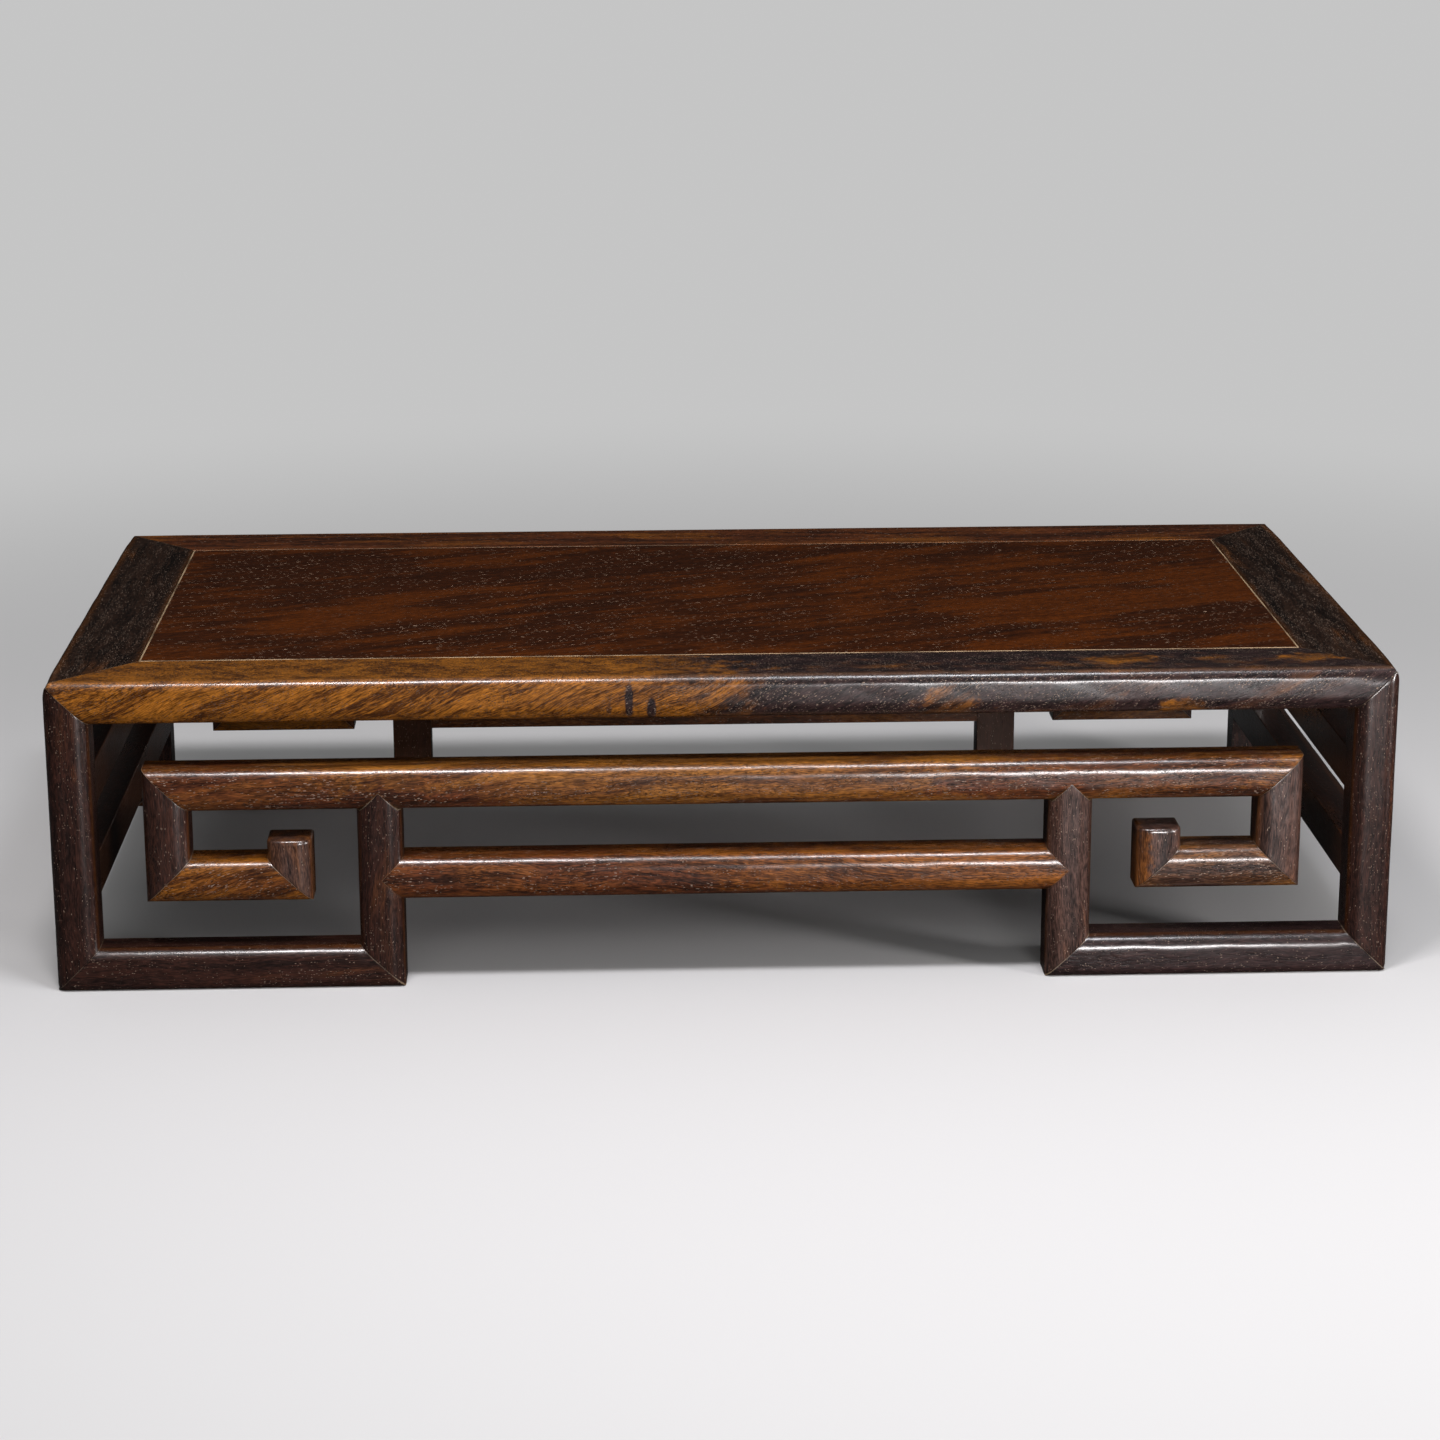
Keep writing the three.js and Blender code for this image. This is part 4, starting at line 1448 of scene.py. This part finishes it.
@dataclass
class CornerPosts:
    """The four corner posts.

    Attributes:
        layout: Shared measures.
        rail_reach: Reach of the side rails' pointed ends, in mm.
    """

    layout: Layout
    rail_reach: float = 9.5

    def build(self, table: Table) -> None:
        """Builds each post at its corner.

        Args:
            table: Collects the pieces.
        """
        at = self.layout
        middles = (at.lower_bottom + at.rail / 2, at.upper_bottom + at.rail / 2)
        notches = tuple(Notch(middle, self.rail_reach) for middle in middles)
        for long_side in Side:
            for side in (-1, 1):
                name = f"post_{long_side.value}_{long_side.hand(side)}"
                post = Post(name, at.post, at.height, at.foot, at.top, notches)
                lattice, values = post.lattice()
                z, q, p = (lattice[..., k] for k in range(3))
                placed = np.stack(
                    [(at.end - q) * side * long_side.turn, (at.face + p) * long_side.turn, z], -1
                )
                table.add(name, placed, values, DARK, Grain.ALONG_Z)


@dataclass
class EndRails:
    """The two side rails at one end, between the posts.

    Attributes:
        layout: Shared measures.
        turn: 1 for the left end and -1 for the right end.
        thickness: Depth of the rails, in mm.
        rail_reach: Reach of the pointed ends, in mm.
    """

    layout: Layout
    turn: int
    thickness: float = 19.5
    rail_reach: float = 9.5

    def build(self, table: Table) -> None:
        """Builds the lower and the upper rail.

        Args:
            table: Collects the pieces.
        """
        at = self.layout
        hand = "left" if self.turn > 0 else "right"
        reach = -at.face - at.post
        for level, bottom in (("lower", at.lower_bottom), ("upper", at.upper_bottom)):
            name = f"{hand}_{level}_rail"
            ends = (End(-reach, reach=self.rail_reach), End(reach, reach=self.rail_reach))
            lattice, values = Member(name, at.rail, self.thickness, *ends).lattice()
            placed = to_end(lattice, bottom, at.end, self.turn)
            table.add(name, placed, values, BROWN, Grain.ALONG_Y)


@dataclass
class FramedTop:
    """The mitred frame, its floating panel and the two battens.

    Attributes:
        layout: Shared measures.
        long_rail: Width of the long rails, in mm.
        end_rail: Width of the end rails, in mm.
        panel_thickness: Thickness of the panel, in mm.
        batten_spacing: Distance between the battens' middles, in mm.
        batten_width: Width of a batten, in mm.
        batten_recess: How far the battens stay above the frame's underside, in mm.
        panel_gap: Clearance round the panel, in mm.
        batten_gap: Clearance at the battens' ends, in mm.
        batten_drop: Clearance between the battens and the panel, in mm.
        batten_ease: Width of the battens' eased arrises, in mm.
        zone: Length of wood over which the grain lines turn to follow a mitre, in mm.
    """

    layout: Layout
    long_rail: float = 40.0
    end_rail: float = 38.0
    panel_thickness: float = 9.0
    batten_spacing: float = 220.0
    batten_width: float = 24.0
    batten_recess: float = 1.5
    panel_gap: float = 0.22
    batten_gap: float = 0.3
    batten_drop: float = 0.1
    batten_ease: float = 0.5
    zone: float = 42.0

    def build(self, table: Table) -> None:
        """Builds the frame, the panel and the battens.

        Args:
            table: Collects the pieces.
        """
        self._frame(table)
        self._panel(table)
        self._battens(table)

    def _frame(self, table: Table) -> None:
        """The front and the back rail, then the left and the right one.

        Args:
            table: Collects the pieces.
        """
        at = self.layout
        for side in Side:
            name = f"top_{side.value}_rail"
            lattice, values = self._rail(name, self.long_rail, self.end_rail, at.end)
            placed = to_front(lattice, (0.0, at.face, at.frame_bottom), False, 1, side.turn)
            table.add(name, placed, values, BROWN, Grain.ALONG_X)
        for turn, hand in ((1, "left"), (-1, "right")):
            name = f"top_{hand}_rail"
            lattice, values = self._rail(name, self.end_rail, self.long_rail, -at.face)
            placed = to_end(lattice, at.frame_bottom, at.end, turn)
            table.add(name, placed, values, END, Grain.ALONG_Y)

    def _rail(
        self, name: str, width: float, other: float, reach: float
    ) -> tuple[Array, dict[str, Array]]:
        """A rail of the frame, mitred to its neighbours.

        Args:
            name: Its node's name.
            width: Its width, in mm.
            other: Width of the rails that it meets, in mm.
            reach: Half its length, in mm.

        Returns:
            Its lattice and attributes.
        """
        at = self.layout
        start, end = (
            End(place, low=at.post, depth=other / width, zone=self.zone, corner=True)
            for place in (-reach, reach)
        )
        return Member(name, at.top, width, start, end, high_edge=TOP_EDGE).lattice()

    def _panel(self, table: Table) -> None:
        """The panel: a board whose top rises and falls by a few hundredths of a millimetre.

        Its top lies below the frame's by sink + rise * wave + worn * exp(-(edge / reach)^2),
        where edge is the distance from the panel's edge. All of it is in mm.

        Args:
            table: Collects the pieces.
        """
        at = self.layout
        reach_x = at.end - self.end_rail - self.panel_gap
        reach_y = -at.face - self.long_rail - self.panel_gap
        sink, rise, worn, worn_reach, eased, step = 0.02, 0.06, 0.12, 0.25, 0.2, 4.0
        x = place_list(-reach_x, reach_x, (), step)
        y = place_list(-reach_y, reach_y, (), step)
        z = at.height - np.array([0.0, eased, 1.0, self.panel_thickness])
        grid = np.stack(np.meshgrid(x, y, z, indexing="ij"), -1)
        wave = slow_waves("panel", grid[..., 0] + 0.7 * grid[..., 1], 150)
        wave = wave * 0.6 + 0.4 * slow_waves("panel across", grid[..., 1], 60)
        edge = np.minimum(reach_x - np.abs(grid[..., 0]), reach_y - np.abs(grid[..., 1]))
        fall = sink + rise * wave + worn * np.exp(-((edge / worn_reach) ** 2))
        grid[..., 2] -= np.array([1.0, 1.0, 0.0, 0.0]) * fall
        ease = np.array([eased, 0.0, 0.0, 0.0])
        grid[..., 0] *= 1 - ease / reach_x
        grid[..., 1] *= 1 - ease / reach_y
        values = {"arris": edge + 0.4, "seam": edge}
        table.add("top_panel", grid, values, RED, Grain.ALONG_X)

    def _battens(self, table: Table) -> None:
        """The two battens under the panel: straight bars with their lower arrises eased.

        Args:
            table: Collects the pieces.
        """
        at = self.layout
        reach = -at.face - self.long_rail - self.batten_gap
        low = at.frame_bottom + self.batten_recess
        high = at.height - self.panel_thickness - self.batten_drop
        half, ease = self.batten_width / 2, self.batten_ease
        for sign, hand in ((-1, "left"), (1, "right")):
            middle = sign * self.batten_spacing / 2
            x = np.array([-half, -half + ease, half - ease, half]) + middle
            y = np.linspace(-reach, reach, 60)
            z = np.array([low, low + ease, high])
            grid = np.stack(np.meshgrid(y, x, z, indexing="ij"), -1)
            grid[..., 0, 1] = middle + (grid[..., 0, 1] - middle) * (1 - ease / half)
            placed = grid[..., [1, 0, 2]]
            far = np.full(grid.shape[:3], 3.0)
            values = {"arris": far, "seam": far}
            table.add(f"panel_batten_{hand}", placed, values, PLAIN, Grain.ALONG_Y)


# Studio


@dataclass
class SoftBox:
    """A rectangular lamp that looks at the table.

    Attributes:
        name: Its name.
        place: Where it is, in metres.
        size: Width and height, in metres.
        power: Power in watts.
        color: Colour of its light.
        mirrored: True if it shows as a highlight in the wax; a plain fill doesn't.
        target: The place on the fret that it looks at, in metres.
    """

    name: str
    place: tuple[float, float, float]
    size: tuple[float, float]
    power: float
    color: Color = (1.0, 1.0, 1.0)
    mirrored: bool = True
    target: tuple[float, float, float] = (0.0, -0.15, 0.08)

    def build(self) -> None:
        """Adds the lamp, turned to its target."""
        lamp = bpy.data.lights.new(self.name, "AREA")
        lamp.shape = "RECTANGLE"
        lamp.size, lamp.size_y = self.size
        lamp.energy = self.power
        lamp.color = self.color
        holder = bpy.data.objects.new(self.name, lamp)
        holder.location = self.place
        holder.visible_glossy = self.mirrored
        aim = Vector(self.target) - Vector(self.place)
        holder.rotation_euler = aim.to_track_quat("-Z", "Y").to_euler()
        bpy.context.scene.collection.objects.link(holder)


@dataclass
class Studio:
    """Plain pale floor, soft lamps and the photograph's camera.

    Attributes:
        floor_reach: Distance from the floor's middle to its sides, in metres.
        floor_color: The floor as the camera sees it near the table.
        far_color: The floor as the camera sees it far behind the table.
        fade: Distances from the table between which one becomes the other, in metres.
        bounce: The floor as the wood sees it.
        sky: Light from above, and its level near the horizon.
        sky_heights: Upward parts of a unit vector between which one becomes the other.
        camera_place: Camera's place, in metres.
        yaw: Turn of the view towards +X, in radians.
        pitch: Tilt of the view down, in radians.
        roll: Roll of the view, in radians.
        frame_width: Width of the photograph, in pixels.
        focal: Focal length in those pixels.
        sensor: Width of the camera's sensor, in mm.
    """

    floor_reach: float = 14.0
    floor_color: float = 0.70
    far_color: float = 0.56
    fade: tuple[float, float] = (0.30, 1.3)
    bounce: float = 0.05
    sky: tuple[float, float] = (0.40, 0.010)
    sky_heights: tuple[float, float] = (0.30, 0.95)
    camera_place: tuple[float, float, float] = (-0.05781, -1.63155, 0.53097)
    yaw: float = 0.0373
    pitch: float = 0.269
    roll: float = -0.0028
    frame_width: float = 1440.0
    focal: float = 3450.64
    sensor: float = 36.0

    def build(self) -> None:
        """Builds the floor, the world, the lamps and the camera."""
        self._floor()
        self._world()
        for lamp in (
            SoftBox("left_softbox", (-0.22, -0.62, 1.22), (0.30, 0.15), 8.0, (0.98, 0.94, 0.95)),
            SoftBox("right_softbox", (0.24, -0.60, 1.22), (0.28, 0.18), 5.0, (0.94, 0.95, 1.0)),
            SoftBox("low_softbox", (0.34, -1.30, 0.10), (0.26, 0.16), 6.6, (1.0, 0.96, 0.96)),
            SoftBox("side_softbox", (0.95, -0.66, 0.24), (0.16, 0.42), 6.5, (1.0, 0.96, 0.96)),
            SoftBox("front_softbox", (-0.20, -1.95, 0.80), (1.6, 0.7), 4.8, mirrored=False),
        ):
            lamp.build()
        self._camera()
        bpy.context.scene.view_settings.view_transform = "Standard"

    def _floor(self) -> None:
        """A wide floor that keeps the table's shadow, evened out far from the table."""
        reach = self.floor_reach
        corners = [(x * reach, y * reach, 0.0) for x, y in ((-1, -1), (1, -1), (1, 1), (-1, 1))]
        mesh = bpy.data.meshes.new("floor")
        mesh.from_pydata(corners, [], [(0, 1, 2, 3)])
        floor = bpy.data.objects.new("floor", mesh)
        bpy.context.scene.collection.objects.link(floor)
        material = bpy.data.materials.new("floor_paper")
        material.use_nodes = True
        material.node_tree.nodes.clear()
        g = Graph(material.node_tree)
        seen = g.add("ShaderNodeLightPath").outputs["Is Camera Ray"]
        shade = g.mix(seen, (self.bounce,) * 3, (self.floor_color,) * 3)
        paper = g.add("ShaderNodeBsdfDiffuse", {"Color": shade})
        glow = g.add("ShaderNodeEmission", {"Color": (self.far_color,) * 3, "Strength": 1.0})
        away = g.vector_math("LENGTH", g.add("ShaderNodeTexCoord").outputs["Object"])
        share = g.math("MULTIPLY", g.fit(away, *self.fade), seen)
        both = g.add("ShaderNodeMixShader", {0: share, 1: paper.outputs[0], 2: glow.outputs[0]})
        out = g.add("ShaderNodeOutputMaterial")
        g.feed(out.inputs["Surface"], both.outputs[0])
        mesh.materials.append(material)

    def _world(self) -> None:
        """Soft light from above that fades to the horizon, and a pale background."""
        world = bpy.data.worlds.new("studio")
        world.use_nodes = True
        world.node_tree.nodes.clear()
        g = Graph(world.node_tree)
        seen = g.add("ShaderNodeLightPath").outputs["Is Camera Ray"]
        toward = g.add("ShaderNodeTexCoord").outputs["Generated"]
        parts = g.add("ShaderNodeSeparateXYZ", {0: toward})
        level = g.fit(parts.outputs[2], *self.sky_heights, self.sky[1], self.sky[0])
        high = g.add("ShaderNodeCombineColor", {0: level, 1: level, 2: level}).outputs[0]
        shade = g.mix(seen, high, (self.far_color,) * 3)
        back = g.add("ShaderNodeBackground", {"Color": shade, "Strength": 1.0})
        out = g.add("ShaderNodeOutputWorld")
        g.feed(out.inputs["Surface"], back.outputs[0])
        bpy.context.scene.world = world

    def _camera(self) -> None:
        """The camera, from the fit to the table's edges in the photograph."""
        aim = Vector((
            math.sin(self.yaw) * math.cos(self.pitch),
            math.cos(self.yaw) * math.cos(self.pitch),
            -math.sin(self.pitch),
        ))
        level = Vector((math.cos(self.yaw), -math.sin(self.yaw), 0.0))
        upward = level.cross(aim)
        right = math.cos(self.roll) * level + math.sin(self.roll) * upward
        up = -math.sin(self.roll) * level + math.cos(self.roll) * upward
        data = bpy.data.cameras.new("camera")
        data.sensor_width = self.sensor
        data.lens = self.focal / self.frame_width * self.sensor
        camera = bpy.data.objects.new("camera", data)
        turn = Matrix((right, up, -aim)).transposed().to_4x4()
        camera.matrix_world = Matrix.Translation(self.camera_place) @ turn
        bpy.context.scene.collection.objects.link(camera)
        bpy.context.scene.camera = camera


# The wood of the pieces that the photograph shows clearly

# Its heartwood's grey-blue cast is partly painted sheen
FRONT_RAIL = replace(
    GOLD, heart=HEART_PURPLE_WITH_SHEEN, share=-0.1, clouds=0.3, pores=0.42, pore_size=(1.4, 0.40),
    pore_pale=0.45, tilt=26.0, contrast=0.09, wax=0.8,
    patches=(
        Patch((-165, -140, 134), (178, 70, 30), 1.25, 0.15),
        Patch((-52, -153, 129), (1.6, 20, 3), -0.7, 0.2),
        Patch((-43, -153, 133), (2.1, 20, 9), -1.1, 0.25),
        Patch((-33, -153, 129), (2.3, 20, 6), -1.1, 0.25),
        Patch((100, -153, 128), (17, 16, 10), 0.6),
        Patch((203, -153, 126), (11, 16, 6), 0.65),
        Patch((182, -153, 128), (9, 16, 7), -0.6),
        Patch((150, -138, 145), (170, 14, 4), 0.3, 0.4),
        Patch((182, -131, 144), (17, 9, 4), 0.6),
        Patch((266, -131, 144), (13, 8, 4), 0.65),
    ),
)
PALE_JOINT = 0.45

SEEN_WOOD = {
    "top_front_rail": FRONT_RAIL,
    "top_back_rail": replace(
        RUSSET, sap=SAP_GOLD, share=0.12, clouds=0.3, pores=0.1, gloss=0.06, wax=0.5,
        patches=(Patch((20, 140, 143), (14, 12, 9), -1.0),),
    ),
    "top_left_rail": replace(
        END, share=-0.15, pores=0.2, patches=(Patch((-285, -122, 143), (14, 20, 9), 0.2, 0.3),)
    ),
    "front_upper_rail": replace(
        GOLD,
        sap=SAP_PALE,
        patches=(
            Patch((-225, -150, 92), (70, 25, 14), -0.5, 0.3),
            Patch((-150, -150, 86), (45, 20, 6), -0.5),
            Patch((180, -150, 93), (95, 25, 16), -0.45, 0.5),
        ),
    ),
    "front_lower_rail": replace(
        RUSSET,
        share=0.15,
        patches=(
            Patch((95, -150, 50), (90, 25, 16), 0.5, 0.4),
            Patch((-5, -150, 53), (55, 25, 14), 0.3, 0.4),
            Patch((-44, -153, 50.5), (17, 12, 1.2), -1.2, 0.25),
            Patch((-24, -153, 47.5), (16, 12, 1.1), -1.2, 0.25),
        ),
    ),
    "front_scroll_rail_left": replace(GOLD, share=0.52, tilt=18.0, seam_pale=PALE_JOINT),
    # The mauve heartwood of these pieces is partly painted sheen
    "front_scroll_rail_right": replace(
        GOLD, heart=HEART_MAUVE_WITH_SHEEN, sap=SAP_PALE, share=0.45,
        patches=(Patch((222.5, -153, 51.5), (2.6, 9, 1.3), -1.6, 0.2),),
    ),
    "front_scroll_upright_right": replace(
        BROWN, heart=HEART_MAUVE_WITH_SHEEN, share=0.05, patches=(Patch((241, -150, 72), (4, 20, 40), 0.3, 0.6),)
    ),
    "front_scroll_tip_right": replace(
        BROWN, heart=HEART_MAUVE_WITH_SHEEN, share=0.05, patches=(Patch((187, -150, 52), (5.5, 20, 22), 0.65, 0.6),)
    ),
    "front_inner_upright_right": replace(DARK, heart=HEART_MAUVE_WITH_SHEEN, share=0.0),
    "front_scroll_tip_left": replace(BROWN, heart=HEART_MAUVE_WITH_SHEEN, share=0.3),
    "front_inner_upright_left": replace(DARK, share=0.02, seam_pale=PALE_JOINT),
    # Purple-grey heartwood, partly painted sheen
    "front_foot_rail_right": replace(DARK, heart=HEART_PURPLE_WITH_SHEEN, seam_pale=PALE_JOINT),
}


def main() -> None:
    """Builds the table and its studio."""
    logging.basicConfig(level=logging.INFO, format="%(name)s: %(message)s")
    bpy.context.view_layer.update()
    layout = Layout()
    table = Table(SEEN_WOOD)
    FramedTop(layout).build(table)
    for side in Side:
        FretSide(layout, side).build(table)
    CornerPosts(layout).build(table)
    for turn in (1, -1):
        EndRails(layout, turn).build(table)
    Studio().build()
    LOG.info("%d pieces stand for the frame's nodes", table.count)


if __name__ == "__main__":
    main()
